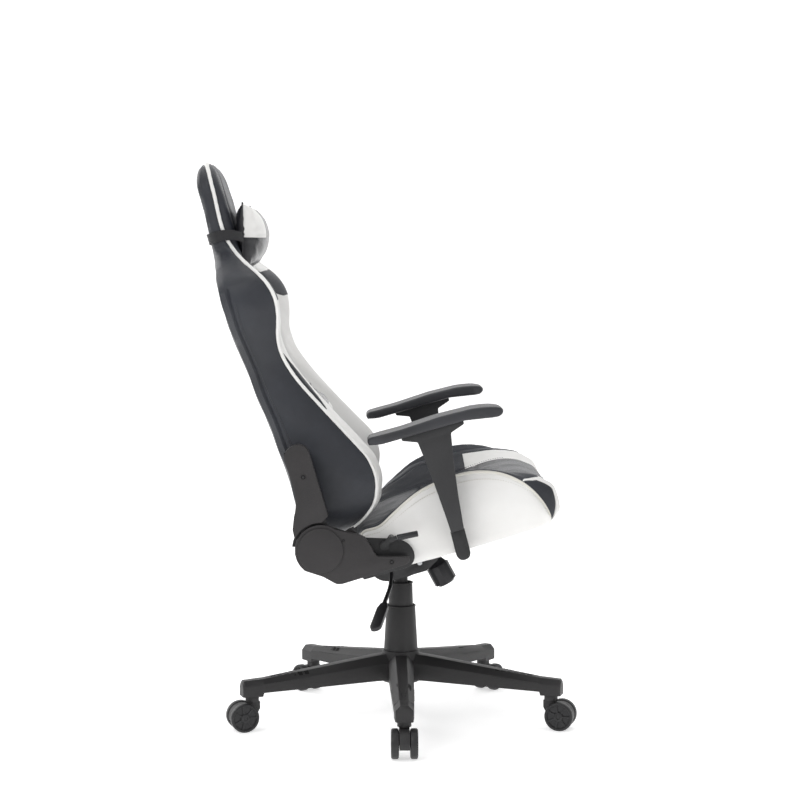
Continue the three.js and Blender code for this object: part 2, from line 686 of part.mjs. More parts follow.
function upperCoverShape(inset) {
  const shape = new THREE.Shape();
  shape.moveTo(30 - inset, 56 + inset);
  shape.lineTo(29 - inset, 174);
  shape.quadraticCurveTo(27 - inset, 192 - inset, 10, 195 - inset);
  shape.quadraticCurveTo(-11, 195 - inset, -17 + inset, 178);
  shape.lineTo(-15 + inset, 116);
  shape.quadraticCurveTo(-17 + inset, 92, -29 + inset, 72);
  shape.lineTo(-38 + inset, 50);
  const radius = DISC_RADIUS + 4 + inset;
  shape.absarc(0, 0, radius, Math.acos((inset - 39) / radius), radians(72), true);
  return shape;
}

function upperCover(side) {
  const wall = HINGE_COVER_WALL;
  const inner = HINGE_COVER_Y - UPPER_COVER_REACH;
  const body = sidePlate(upperCoverShape(0), side * inner, side * HINGE_FACE_Y);
  const hollow = sidePlate(upperCoverShape(wall), side * (inner - 1), side * (HINGE_FACE_Y - wall));
  const reach = [side * (inner - 1), side * (HINGE_COVER_Y + GAP)];
  const slot = block([-30, Math.min(...reach), 20], [26, Math.max(...reach), 70]);
  return cut(body, hollow, slot);
}

// Steel plate from the recliner up the side of the back, with a boss to each end of the frame.
function backBracket(side) {
  const outline = new THREE.Shape();
  outline.moveTo(24, 22);
  outline.lineTo(22, 168);
  outline.quadraticCurveTo(20, 186, 5, 187);
  outline.quadraticCurveTo(-10, 186, -11, 168);
  outline.lineTo(-9, 116);
  outline.lineTo(-17, 84);
  outline.lineTo(-25, 58);
  outline.lineTo(-26, 22);
  outline.absarc(0, 0, RECLINER_RADIUS, radians(140), radians(402));
  const outer = BACK_BRACKET_Y + BRACKET_THICKNESS;
  const plate = sidePlate(outline, side * BACK_BRACKET_Y, side * outer, 8);
  const bosses = BOSS_HEIGHTS.map((z) => bar(
    [BOSS_X, side * (EAR_HALF_WIDTH + GAP), z],
    [BOSS_X, side * (BACK_BRACKET_Y + 1), z],
    10,
    12,
  ));
  return join(plate, ...bosses);
}

// Recline lever: hub on the seat bracket, arm up and out to the grip.
function reclineLever() {
  const inner = -(BRACKET_Y + BRACKET_THICKNESS + SLIDE_GAP);
  const outer = inner - 6;
  const elbow = [RECLINE_LEVER_X + 16, RECLINE_GRIP_Z];
  const arm = strip([[RECLINE_LEVER_X, RECLINE_LEVER_Z], elbow], 10, inner, outer);
  const pivot = (y) => [RECLINE_LEVER_X, y, RECLINE_LEVER_Z];
  const hub = bar(pivot(inner), pivot(outer), 17);
  const face = -(HINGE_FACE_Y + 4);
  const out = bar([elbow[0], inner, elbow[1]], [elbow[0], face - 5, elbow[1]], 10, 12);
  const stub = bar([elbow[0], face, elbow[1]], [elbow[0] + 10, face, elbow[1]], 9, 12);
  return join(arm, hub, out, stub);
}

function reclineGrip() {
  const y = -(HINGE_FACE_Y + 4);
  const x = RECLINE_LEVER_X + 26 + GAP;
  const end = [x + GRIP_LENGTH, y, RECLINE_GRIP_Z - 3];
  return bar([x, y, RECLINE_GRIP_Z], end, GRIP_DIAMETER, 16);
}

// ---- Back ---------------------------------------------------------------------------------

const EAR_HALF_WIDTH = BRACKET_Y - 8;
const HIP_HALF_WIDTH = EAR_HALF_WIDTH - 5;

// z, half width, rear face, side edge, bolster crest, middle of the front
const BACK_STATIONS = [
  [10, HIP_HALF_WIDTH - 53, -20, 40, 40, 22],
  [26, HIP_HALF_WIDTH - 21, -22, 80, 84, 22],
  [50, HIP_HALF_WIDTH - 7, -23, 112, 122, 20],
  [80, HIP_HALF_WIDTH - 1, -24, 128, 138, 18],
  [110, HIP_HALF_WIDTH, -24, 131, 141, 16],
  [150, HIP_HALF_WIDTH - 2, -24, 120, 132, 14],
  [200, HIP_HALF_WIDTH - 6, -29, 94, 108, 13],
  [250, (HIP_HALF_WIDTH + WAIST_HALF_WIDTH) / 2 - 4, -33, 69, 80, 13],
  [SHOULDER_HEIGHT - 165, WAIST_HALF_WIDTH, -39, 45, 62, 14],
  [SHOULDER_HEIGHT - 115, WAIST_HALF_WIDTH + 3, -43, 31, 48, 15],
  [SHOULDER_HEIGHT - 70, SHOULDER_HALF_WIDTH - 18, -47, 34, 48, 16],
  [SHOULDER_HEIGHT - 30, SHOULDER_HALF_WIDTH - 5, -50, 46, 56, 16],
  [SHOULDER_HEIGHT, SHOULDER_HALF_WIDTH, -50, 46, 55, 15],
  [SHOULDER_HEIGHT + 35, SHOULDER_HALF_WIDTH - 12, -49, 34, 42, 13],
  [NECK_HEIGHT - 37, SHOULDER_HALF_WIDTH - 46, -48, 18, 28, 11],
  [NECK_HEIGHT - 17, HEAD_HALF_WIDTH + 36, -47, 5, 14, 10],
  [NECK_HEIGHT, HEAD_HALF_WIDTH + 5, -47, -2, 6, 9],
  [NECK_HEIGHT + 18, HEAD_HALF_WIDTH - 1, -46, -6, 4, 9],
  [BACK_HEIGHT - 81, HEAD_HALF_WIDTH, -42, -7, 4, 9],
  [BACK_HEIGHT - 41, HEAD_HALF_WIDTH - 4, -39, -6, 4, 9],
  [BACK_HEIGHT - 16, HEAD_HALF_WIDTH - 18, -31, -5, 2, 6],
  [BACK_HEIGHT, HEAD_HALF_WIDTH - 46, -17, -8, -5, -4],
];
const BACK_BOLSTER = 84;          // width of each side bolster

const backHalf = along(BACK_STATIONS, 1);
const backRear = along(BACK_STATIONS, 2);
const backMiddle = along(BACK_STATIONS, 5);

function cushionRing([z, half, , edge, crest, middle]) {
  const bolster = Math.min(BACK_BOLSTER, half * 0.45);
  const rear = FRAME_REAR;
  const right = [
    [rear, -half + 3, z],
    [Math.max(edge - 10, rear + 3), -half, z],
    [Math.max(edge, rear + 6), -half + 9, z],
    [Math.max(crest, rear + 8), -half + 32, z],
    [Math.max(middle + 2, rear + 9), -half + bolster, z],
    [Math.max(middle, rear + 9), -half * 0.3, z],
  ];
  const left = right.map(([px, py, pz]) => [px, -py, pz]).reverse();
  return [...right, ...left];
}

const EAR_BOTTOM = 62;
const EAR_TOP = 182;
const BOSS_X = FRAME_REAR + FRAME_THICKNESS / 2 + 1.5;
const BOSS_HEIGHTS = [90, 165];

// Outline of the back frame in (y, z), grown or shrunk by margin.
function frameOutline(margin) {
  const heights = [26, EAR_BOTTOM - 2 - margin, EAR_BOTTOM - margin, EAR_TOP + margin,
    EAR_TOP + 2 + margin, 250, SHOULDER_HEIGHT - 165, SHOULDER_HEIGHT - 115,
    SHOULDER_HEIGHT - 65, SHOULDER_HEIGHT - 25, SHOULDER_HEIGHT + 5, SHOULDER_HEIGHT + 35,
    NECK_HEIGHT - 32, NECK_HEIGHT - 7, NECK_HEIGHT + 38, BACK_HEIGHT - 81, BACK_HEIGHT - 41];
  const halves = heights.map((z) => {
    const inEar = z > EAR_BOTTOM - 1.5 && z < EAR_TOP + 1.5;
    return (inEar ? EAR_HALF_WIDTH : backHalf(z) - 22) + margin;
  });
  halves[0] -= 26;
  halves[halves.length - 1] -= 20;
  const right = heights.map((z, i) => {
    const end = i === 0 ? -margin : i === heights.length - 1 ? margin : 0;
    return [halves[i], z + end];
  });
  const left = right.map(([y, z]) => [-y, z]).reverse();
  return shapeFrom([...right, ...left]);
}

function frameWindow(low, high, halfAt, margin) {
  const steps = 4;
  const right = [];
  for (let i = 0; i <= steps; i += 1) {
    const z = THREE.MathUtils.lerp(low, high, i / steps);
    const trim = i === 0 || i === steps ? 12 : 0;
    right.push([halfAt(z) - trim - margin, z + (i === 0 ? margin : i === steps ? -margin : 0)]);
  }
  const left = right.map(([y, z]) => [-y, z]).reverse();
  return shapeFrom([...right, ...left]);
}

// Welded ring with two cross rails; margin makes the pocket that it lies in.
function backFrame(margin) {
  const rail = (z) => backHalf(z) - 22 - FRAME_RAIL;
  const shape = frameOutline(margin);
  const windows = [
    [50, 230], [250, SHOULDER_HEIGHT + 5], [NECK_HEIGHT - 10, BACK_HEIGHT - 63],
  ];
  for (const [low, high] of windows) {
    shape.holes.push(frameWindow(low, high, rail, margin));
  }
  return frontPlate(shape, FRAME_REAR - margin, FRAME_REAR + FRAME_THICKNESS + margin);
}

function backCushion() {
  return cut(loft(BACK_STATIONS.map(cushionRing), [0, 1]), backFrame(GAP));
}

// Upholstered rear shell behind the frame.
function rearPanel() {
  const front = FRAME_REAR - GAP;
  const rings = BACK_STATIONS.slice(0, -1).map(([z, half, rear]) => {
    const back = Math.min(rear, front - 2);
    const soft = Math.min(6, (front - back) * 0.6);
    return [
      [front, half - 3, z], [back + soft, half - 3, z], [back, half - 16, z],
      [back, -half + 16, z], [back + soft, -half + 3, z], [front, -half + 3, z],
    ];
  });
  return loft(rings, [0, 1]);
}

// Pillow lofted along Y: ends small, middle full.
function pillow(centre, half, thickness, height, tilt) {
  const ends = [[-1, 0.18], [-0.93, 0.66], [-0.78, 0.92], [-0.4, 1], [0, 0.97]];
  const stations = [...ends, ...ends.slice(0, -1).map(([t, size]) => [-t, size]).reverse()];
  const sides = 14;
  const rings = stations.map(([t, size]) => {
    const ring = [];
    for (let i = 0; i < sides; i += 1) {
      const angle = -i * 2 * Math.PI / sides;
      const x = Math.cos(angle) * size * thickness / 2;
      const z = Math.sin(angle) * Math.sqrt(size) * height / 2;
      ring.push([
        centre[0] + x * Math.cos(tilt) + z * Math.sin(tilt),
        t * half,
        centre[1] - x * Math.sin(tilt) + z * Math.cos(tilt),
      ]);
    }
    return ring;
  });
  return loft(rings, [2, 0]);
}

const NECK_STRAP_Z = NECK_HEIGHT + 12;
const NECK_STRAP_WIDTH = 22;
const STRAP_THICKNESS = 2;

// Elastic band round the headrest.
function neckStrap() {
  const half = HEAD_HALF_WIDTH + 2 + SLIDE_GAP;
  const [rear, front] = [-47 - SLIDE_GAP, 12 + SLIDE_GAP];
  const grow = STRAP_THICKNESS;
  const shape = roundedRectangle(rear - grow, -half - grow, front + grow, half + grow, 12);
  shape.holes.push(roundedRectangle(rear, -half, front, half, 6));
  return planPlate(shape, NECK_STRAP_Z, NECK_STRAP_Z + NECK_STRAP_WIDTH, 4);
}

const LUMBAR_STRAP_HALF = 13;
const LUMBAR_STRAP_TOP = SHOULDER_HEIGHT + 41;

// Strap from the rear seam, down the back and under it, up to the lumbar pillow.
function lumbarStrap() {
  const off = GAP + STRAP_THICKNESS / 2 + 0.8;
  const upper = [0, -30, -70, -115, -165].map((drop) => SHOULDER_HEIGHT + drop);
  const heights = [LUMBAR_STRAP_TOP, ...upper, 250, 200, 150, 80, 26];
  const path = heights.map((z) => [backRear(z) - off, z]);
  const under = BACK_STATIONS[0][0] - off;
  path.push([backRear(26) - off, under + 3], [backRear(26) - off + 3, under]);
  path.push([backMiddle(10) + off - 3, under], [backMiddle(10) + off, under + 3]);
  path.push([backMiddle(26) + off, 30]);
  path.push([backMiddle(80) + off, 80], [backMiddle(110) + off, 104]);
  return strip(path, STRAP_THICKNESS, -LUMBAR_STRAP_HALF, LUMBAR_STRAP_HALF);
}

function strapBuckle() {
  const z = SHOULDER_HEIGHT - 25;
  const outer = backRear(z) - GAP - STRAP_THICKNESS - 1.2;
  const body = roundedRectangle(-19, z - 26, 19, z + 26, 5);
  return frontPlate(body, outer - 7, outer);
}

// ---- Arms ---------------------------------------------------------------------------------

// Steel L under the seat with a wide foot of the post and a narrow blade inside the sleeve.
function armBracket(side) {
  const thick = 16;
  const lower = new THREE.Shape();
  lower.moveTo(233, SLEEVE_BOTTOM - 1);
  lower.lineTo(232, SEAT_PAN_BOTTOM - 4);
  lower.quadraticCurveTo(234, SEAT_PAN_BOTTOM - 16, 245, SEAT_PAN_BOTTOM - 16);
  lower.quadraticCurveTo(256, SEAT_PAN_BOTTOM - 16, 258, SEAT_PAN_BOTTOM - 4);
  lower.lineTo(259, SLEEVE_BOTTOM - 1);
  const post = sidePlate(lower, side * (ARM_Y - thick / 2), side * (ARM_Y + thick / 2));
  const blade = block(
    [246 - BLADE_WIDTH / 2, side * ARM_Y - BLADE_THICKNESS / 2, -60],
    [246 + BLADE_WIDTH / 2, side * ARM_Y + BLADE_THICKNESS / 2, 120],
  );
  const top = SEAT_PAN_BOTTOM - GAP;
  const reach = [side * 112, side * ARM_Y];
  const foot = block([233, Math.min(...reach), top - 9], [257, Math.max(...reach), top]);
  return join(post, blade, foot);
}

const BUTTON_LOW = [236, 100];
const BUTTON_HIGH = [256, 118];

function buttonBlock(side, grow, inner, outer) {
  const reach = [side * inner, side * outer];
  return block(
    [BUTTON_LOW[0] - grow, Math.min(...reach), BUTTON_LOW[1] - grow],
    [BUTTON_HIGH[0] + grow, Math.max(...reach), BUTTON_HIGH[1] + grow],
  );
}

// Plastic sleeve that widens upward into the plate under the pad.
function armSleeve(side) {
  const outline = new THREE.Shape();
  outline.moveTo(234, SLEEVE_BOTTOM);
  outline.lineTo(258, SLEEVE_BOTTOM);
  outline.quadraticCurveTo(268, 70, 283, 140);
  outline.lineTo(310, 149);
  outline.lineTo(310, PAD_BOTTOM - GAP);
  outline.lineTo(195, PAD_BOTTOM - GAP);
  outline.lineTo(195, 150);
  outline.lineTo(221, 140);
  outline.quadraticCurveTo(230, 70, 234, SLEEVE_BOTTOM);
  const half = SLEEVE_THICKNESS / 2;
  const body = sidePlate(outline, side * (ARM_Y - half), side * (ARM_Y + half));
  const clear = SLIDE_GAP;
  const bore = block(
    [246 - BLADE_WIDTH / 2 - clear, side * ARM_Y - BLADE_THICKNESS / 2 - clear, SLEEVE_BOTTOM - 1],
    [246 + BLADE_WIDTH / 2 + clear, side * ARM_Y + BLADE_THICKNESS / 2 + clear, 128],
  );
  const face = ARM_Y - half;
  const recess = buttonBlock(side, clear, face - 1, face + 3 + BUTTON_TRAVEL + clear);
  return cut(body, bore, recess);
}

function armButton(side) {
  const face = ARM_Y - SLEEVE_THICKNESS / 2;
  return buttonBlock(side, 0, face - BUTTON_TRAVEL, face + 3);
}

function armPad(side) {
  const profile = new THREE.Shape();
  profile.moveTo(136, 160);
  profile.lineTo(160, PAD_BOTTOM);
  profile.lineTo(312, PAD_BOTTOM);
  profile.lineTo(372, 146);
  profile.quadraticCurveTo(386, 148, 384, 157);
  profile.quadraticCurveTo(378, 168, 330, 174);
  profile.lineTo(273, 176);
  profile.lineTo(198, 173);
  profile.lineTo(142, 174);
  profile.quadraticCurveTo(132, 172, 136, 160);
  const half = PAD_WIDTH / 2;
  const body = sidePlate(profile, side * ARM_Y - half, side * ARM_Y + half, 5);
  const plan = roundedRectangle(130, side * ARM_Y - half, 388, side * ARM_Y + half, 30);
  return intersect(body, planPlate(plan, 130, 190, 6));
}

// ---- Assembly -----------------------------------------------------------------------------

const chair = new THREE.Group();
add(chair, "star_base", starBase(), plastic);
add(chair, "gas_cylinder", gasCylinder(), paintedSteel);
const lowerTube = coverTube(
  HUB_TOP, LOWER_COVER_TOP, LOWER_COVER_FOOT_DIAMETER, LOWER_COVER_TOP_DIAMETER,
);
add(chair, "cover_lower", lowerTube, plastic);
const middleTube = coverTube(
  MIDDLE_COVER_BOTTOM, MIDDLE_COVER_TOP, MIDDLE_COVER_FOOT_DIAMETER, MIDDLE_COVER_TOP_DIAMETER,
);
add(chair, "cover_middle", middleTube, plastic);
for (let number = 0; number < SPOKE_COUNT; number += 1) chair.add(castor(number));

const pistonTop = SOCKET_BOTTOM + 17;
add(chair, "piston_tube", bar([0, 0, PISTON_BOTTOM], [0, 0, pistonTop], PISTON_DIAMETER, 24), steel);
const sleeveInner = PISTON_DIAMETER / 2 + GAP;
const upperTube = turned([
  [sleeveInner, UPPER_COVER_BOTTOM], [UPPER_COVER_DIAMETER / 2, UPPER_COVER_BOTTOM],
  [UPPER_COVER_DIAMETER / 2, SOCKET_BOTTOM - GAP], [sleeveInner, SOCKET_BOTTOM - GAP],
  [sleeveInner, UPPER_COVER_BOTTOM],
], 24);
add(chair, "cover_upper", upperTube, plastic);
add(chair, "tilt_socket", tiltSocket(), paintedSteel);
add(chair, "tilt_pin", tiltPin(), steel);

const seat = new THREE.Group();
seat.position.set(-RECLINE_BEHIND, 0, RECLINE_HEIGHT);
seat.rotation.y = -radians(REST_LEAN);
chair.add(seat);
add(seat, "tilt_housing", tiltHousing(), paintedSteel);
add(seat, "tension_knob", tensionKnob(), plastic);
add(seat, "lever_collar", leverCollar(), paintedSteel);
add(seat, "lever_rod", leverRod(), paintedSteel);
add(seat, "lever_paddle", leverPaddle(), plastic);
add(seat, "seat_pan", seatPan(), paintedSteel);
add(seat, "seat_cushion", seatCushion(), whiteLeather);
add(seat, "recline_lever", reclineLever(), paintedSteel);
add(seat, "recline_grip", reclineGrip(), plastic);

const back = new THREE.Group();
seat.add(back);
add(back, "back_frame", backFrame(0), paintedSteel);
add(back, "back_cushion", backCushion(), blackLeather);
add(back, "back_rear_panel", rearPanel(), blackLeather);
const neckPillow = pillow([41, NECK_HEIGHT + 19], HEAD_HALF_WIDTH - 12, 50, 126, radians(8));
add(back, "neck_pillow", neckPillow, blackLeather);
add(back, "neck_strap", neckStrap(), webbing);
const lumbarPillow = pillow([52, 190], HIP_HALF_WIDTH - 93, 62, 160, 0);
add(back, "lumbar_pillow", lumbarPillow, blackLeather);
add(back, "lumbar_strap", lumbarStrap(), webbing);
add(back, "strap_buckle", strapBuckle(), satinPlastic);

for (const [name, side] of [["right", -1], ["left", 1]]) {
  add(seat, `seat_bracket_${name}`, seatBracket(side), paintedSteel);
  add(seat, `recliner_${name}`, recliner(side), steel);
  add(seat, `lower_cover_${name}`, lowerCover(side), plastic);
  add(seat, `disc_cap_${name}`, discCap(side), plastic);
  add(seat, `arm_bracket_${name}`, armBracket(side), paintedSteel);
  add(seat, `arm_sleeve_${name}`, armSleeve(side), plastic);
  add(seat, `arm_button_${name}`, armButton(side), satinPlastic);
  add(seat, `arm_pad_${name}`, armPad(side), satinPlastic);
  add(back, `back_bracket_${name}`, backBracket(side), paintedSteel);
  add(back, `upper_cover_${name}`, upperCover(side), plastic);
}

// The origin goes to the bottom centre of the whole chair.
chair.updateMatrixWorld(true);
const box = new THREE.Box3().setFromObject(chair, true);
chair.position.set(-(box.min.x + box.max.x) / 2, -(box.min.y + box.max.y) / 2, -box.min.z);
chair.updateMatrixWorld(true);

export default chair;
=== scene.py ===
"""Gaming chair: the visible surfaces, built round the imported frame.

Points are in millimetres until piece() places them. Shapes of the seat and back are given in
the seat frame: origin on the recline axis, x forward along the seat, z square to it.
"""
import json
import math

import bmesh
import bpy
import numpy as np
from mathutils import Matrix, Vector
from mathutils.bvhtree import BVHTree


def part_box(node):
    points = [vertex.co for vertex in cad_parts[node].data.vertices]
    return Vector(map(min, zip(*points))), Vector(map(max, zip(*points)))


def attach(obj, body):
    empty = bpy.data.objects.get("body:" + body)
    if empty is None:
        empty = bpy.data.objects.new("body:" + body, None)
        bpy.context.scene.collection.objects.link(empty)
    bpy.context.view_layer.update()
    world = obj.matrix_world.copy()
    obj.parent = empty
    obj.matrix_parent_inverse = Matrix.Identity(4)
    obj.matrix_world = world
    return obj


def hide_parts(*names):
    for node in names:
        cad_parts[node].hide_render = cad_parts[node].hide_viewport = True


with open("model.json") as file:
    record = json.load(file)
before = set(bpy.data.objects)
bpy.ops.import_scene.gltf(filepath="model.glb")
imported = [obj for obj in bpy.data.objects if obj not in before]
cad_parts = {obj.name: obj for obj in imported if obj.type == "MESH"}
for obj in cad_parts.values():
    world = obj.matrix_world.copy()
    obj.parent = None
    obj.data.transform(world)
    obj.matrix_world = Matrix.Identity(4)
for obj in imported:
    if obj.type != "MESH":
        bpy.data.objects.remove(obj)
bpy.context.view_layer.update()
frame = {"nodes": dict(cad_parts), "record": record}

LEAN = math.radians(16)
PI = math.pi


def centre(*nodes):
    """Middle of the box round some CAD nodes, in metres."""
    corners = [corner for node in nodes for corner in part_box(node)]
    low = [min(c[i] for c in corners) for i in range(3)]
    high = [max(c[i] for c in corners) for i in range(3)]
    return Vector([(a + b) / 2 for a, b in zip(low, high)])


COLUMN_AT = centre("piston_tube")
HINGE_AT = centre("disc_cap_right", "disc_cap_left")
WORLD = Matrix.Identity(4)
COLUMN = Matrix.Translation((COLUMN_AT.x, COLUMN_AT.y, 0))
SEAT = Matrix.Translation(HINGE_AT) @ Matrix.Rotation(-LEAN, 4, "Y")
BODY_OF = {node: body for body, nodes in frame["record"]["behaviour"]["bodies"].items()
           for node in nodes}


# ---- Node materials -----------------------------------------------------------------------

class Nodes:
    """A material's node tree, with short calls to add and join nodes."""

    def __init__(self, name):
        self.material = bpy.data.materials.new(name)
        self.material.use_nodes = True
        self.tree = self.material.node_tree
        self.shader = next(n for n in self.tree.nodes if n.type == "BSDF_PRINCIPLED")

    def add(self, kind, **settings):
        node = self.tree.nodes.new("ShaderNode" + kind)
        for key, value in settings.items():
            setattr(node, key, value)
        return node

    def link(self, source, target):
        self.tree.links.new(source, target)

    def place(self, scale=(1, 1, 1)):
        coordinates = self.add("TexCoord").outputs["Object"]
        mapping = self.add("Mapping")
        mapping.inputs["Scale"].default_value = scale
        self.link(coordinates, mapping.inputs["Vector"])
        return mapping.outputs["Vector"]

    def noise(self, vector, scale, detail=3, roughness=0.5):
        node = self.add("TexNoise")
        node.inputs["Scale"].default_value = scale
        node.inputs["Detail"].default_value = detail
        node.inputs["Roughness"].default_value = roughness
        self.link(vector, node.inputs["Vector"])
        return node.outputs["Fac"]

    def cells(self, vector, scale):
        node = self.add("TexVoronoi", feature="DISTANCE_TO_EDGE")
        node.inputs["Scale"].default_value = scale
        self.link(vector, node.inputs["Vector"])
        return node.outputs["Distance"]

    def wave(self, vector, scale, direction="Z"):
        node = self.add("TexWave", wave_type="BANDS", bands_direction=direction)
        node.inputs["Scale"].default_value = scale
        self.link(vector, node.inputs["Vector"])
        return node.outputs["Fac"]

    def ramp(self, value, low, high, out_low, out_high):
        node = self.add("MapRange")
        for socket, number in (("From Min", low), ("From Max", high),
                               ("To Min", out_low), ("To Max", out_high)):
            node.inputs[socket].default_value = number
        self.link(value, node.inputs["Value"])
        return node.outputs["Result"]

    def maths(self, operation, a, b):
        node = self.add("Math", operation=operation)
        for socket, value in zip(node.inputs, (a, b)):
            if isinstance(value, (int, float)):
                socket.default_value = value
            else:
                self.link(value, socket)
        return node.outputs[0]

    def mix(self, factor, dark, light):
        node = self.add("Mix", data_type="RGBA")
        self.link(factor, node.inputs[0])
        node.inputs[6].default_value = (*dark, 1)
        node.inputs[7].default_value = (*light, 1)
        return node.outputs[2]

    def bump(self, height, distance, strength=1.0, under=None):
        node = self.add("Bump")
        node.inputs["Strength"].default_value = strength
        node.inputs["Distance"].default_value = distance
        self.link(height, node.inputs["Height"])
        if under is not None:
            self.link(under, node.inputs["Normal"])
        return node.outputs["Normal"]

    def finish(self, colour=None, roughness=None, normal=None, **sockets):
        outputs = {"Base Color": colour, "Roughness": roughness, "Normal": normal}
        for name, output in outputs.items():
            if output is not None:
                self.link(output, self.shader.inputs[name])
        for name, value in sockets.items():
            self.shader.inputs[name.replace("_", " ")].default_value = value
        return self.material


def leather(name, dark, light, rough, grain=0.00022, coat=0.12):
    """Coated leather: pebble grain, fine creases, soft changes of tone and gloss."""
    n = Nodes(name)
    place = n.place()
    warp = n.noise(place, 60, 2)
    pebbles = n.cells(place, 620)
    fine = n.cells(place, 1500)
    tone = n.noise(place, 9, 4, 0.6)
    colour = n.mix(n.ramp(tone, 0.3, 0.7, 0, 1), dark, light)
    gloss = n.maths("ADD", n.ramp(tone, 0.3, 0.7, rough - 0.05, rough + 0.05),
                    n.ramp(pebbles, 0.0, 0.35, 0.08, 0.0))
    creases = n.maths("ADD", n.ramp(pebbles, 0.0, 0.3, 0, 1), n.ramp(fine, 0.0, 0.4, 0, 0.35))
    soft = n.bump(warp, 0.0012, 0.35)
    normal = n.bump(creases, grain, 0.8, soft)
    return n.finish(colour, gloss, normal, Coat_Weight=coat, Coat_Roughness=0.28,
                    Specular_IOR_Level=0.45)


def plastic(name, dark, light, rough, texture=0.00016):
    """Moulded plastic with a spark-eroded texture and slightly polished high spots."""
    n = Nodes(name)
    place = n.place()
    speckle = n.noise(place, 1500, 4, 0.7)
    cloud = n.noise(place, 14, 3)
    colour = n.mix(n.ramp(n.maths("ADD", speckle, n.maths("MULTIPLY", cloud, 0.5)),
                          0.55, 1.0, 0, 1), dark, light)
    gloss = n.maths("ADD", n.ramp(speckle, 0.3, 0.7, rough + 0.07, rough - 0.05),
                    n.ramp(cloud, 0.3, 0.7, -0.03, 0.03))
    return n.finish(colour, gloss, n.bump(speckle, texture, 0.9), Specular_IOR_Level=0.4)


def webbing(name, dark, light):
    """Flat woven tape: ribs across it and a fine twill along it."""
    n = Nodes(name)
    place = n.place()
    across = n.wave(place, 420, "Z")
    along = n.wave(place, 300, "DIAGONAL")
    weave = n.maths("MULTIPLY", across, along)
    colour = n.mix(n.maths("ADD", n.maths("MULTIPLY", weave, 0.7),
                           n.maths("MULTIPLY", n.noise(place, 40), 0.3)), dark, light)
    rough = n.ramp(weave, 0, 1, 0.95, 0.75)
    return n.finish(colour, rough, n.bump(weave, 0.0005, 0.8), Sheen_Weight=0.25,
                    Sheen_Roughness=0.5)


def painted_steel(name, dark, light):
    """Powder coat: orange-peel surface with a few paler rubs."""
    n = Nodes(name)
    place = n.place()
    peel = n.noise(place, 420, 2, 0.4)
    rub = n.noise(place, 26, 5, 0.7)
    colour = n.mix(n.ramp(rub, 0.45, 0.8, 0, 1), dark, light)
    rough = n.ramp(rub, 0.3, 0.8, 0.36, 0.52)
    return n.finish(colour, rough, n.bump(peel, 0.0004, 0.6), Metallic=0.1)


def bright_steel(name):
    """Zinc-plated steel with turning marks and dull patches."""
    n = Nodes(name)
    place = n.place((1, 1, 14))
    marks = n.noise(place, 160, 4, 0.7)
    dull = n.noise(n.place(), 30, 3)
    colour = n.mix(dull, (0.34, 0.35, 0.36), (0.6, 0.61, 0.62))
    rough = n.ramp(marks, 0.3, 0.7, 0.2, 0.42)
    return n.finish(colour, rough, n.bump(marks, 0.00012, 0.6), Metallic=1.0)


def thread(name, dark, light):
    """Twisted sewing thread."""
    n = Nodes(name)
    place = n.place()
    twist = n.wave(place, 900, "DIAGONAL")
    colour = n.mix(twist, dark, light)
    return n.finish(colour, n.ramp(twist, 0, 1, 0.7, 0.5), n.bump(twist, 0.0002))


BLACK = leather("black_leather", (0.013, 0.0145, 0.020), (0.022, 0.025, 0.034), 0.35)
GREY = leather("dark_grey_leather", (0.030, 0.033, 0.041), (0.046, 0.050, 0.060), 0.4)
GLOSSY = leather("glossy_black_leather", (0.012, 0.012, 0.015), (0.022, 0.022, 0.027), 0.24,
                 0.00016, 0.35)
WHITE = leather("white_leather", (0.84, 0.83, 0.81), (0.90, 0.895, 0.88), 0.4, 0.00018, 0.08)
CREAM = leather("cream_piping", (0.72, 0.70, 0.64), (0.80, 0.78, 0.72), 0.42, 0.00012, 0.05)
PAD_SKIN = leather("arm_pad_skin", (0.022, 0.023, 0.027), (0.034, 0.035, 0.041), 0.42,
                   0.0001, 0.06)
BASE = plastic("base_plastic", (0.018, 0.0175, 0.018), (0.030, 0.029, 0.030), 0.48)
COVER = plastic("cover_plastic", (0.022, 0.0205, 0.0215), (0.038, 0.035, 0.036), 0.54, 0.00022)
ARM = plastic("arm_plastic", (0.022, 0.022, 0.0235), (0.036, 0.036, 0.038), 0.48)
CASTOR = plastic("castor_plastic", (0.024, 0.023, 0.024), (0.038, 0.037, 0.038), 0.45)
WHEEL = plastic("wheel_plastic", (0.018, 0.018, 0.019), (0.031, 0.031, 0.033), 0.42)
SATIN = plastic("satin_plastic", (0.016, 0.016, 0.018), (0.028, 0.028, 0.031), 0.36, 0.00008)
# Near-black plastic for vent slots and screw recesses: painted shade in place of real hollows.
PAINTED_SHADE = plastic("painted_recess_shade", (0.002, 0.002, 0.002), (0.006, 0.006, 0.006), 0.8)
WEB = webbing("black_webbing", (0.012, 0.012, 0.013), (0.05, 0.05, 0.055))
PAINT = painted_steel("black_steel", (0.013, 0.013, 0.014), (0.035, 0.035, 0.037))
STEEL = bright_steel("bright_steel")
DARK_THREAD = thread("dark_thread", (0.02, 0.02, 0.022), (0.09, 0.09, 0.1))
PALE_THREAD = thread("pale_thread", (0.6, 0.58, 0.52), (0.85, 0.83, 0.78))


# ---- Mesh helpers -------------------------------------------------------------------------

WELD = 0.00002  # metres: points closer than this are one


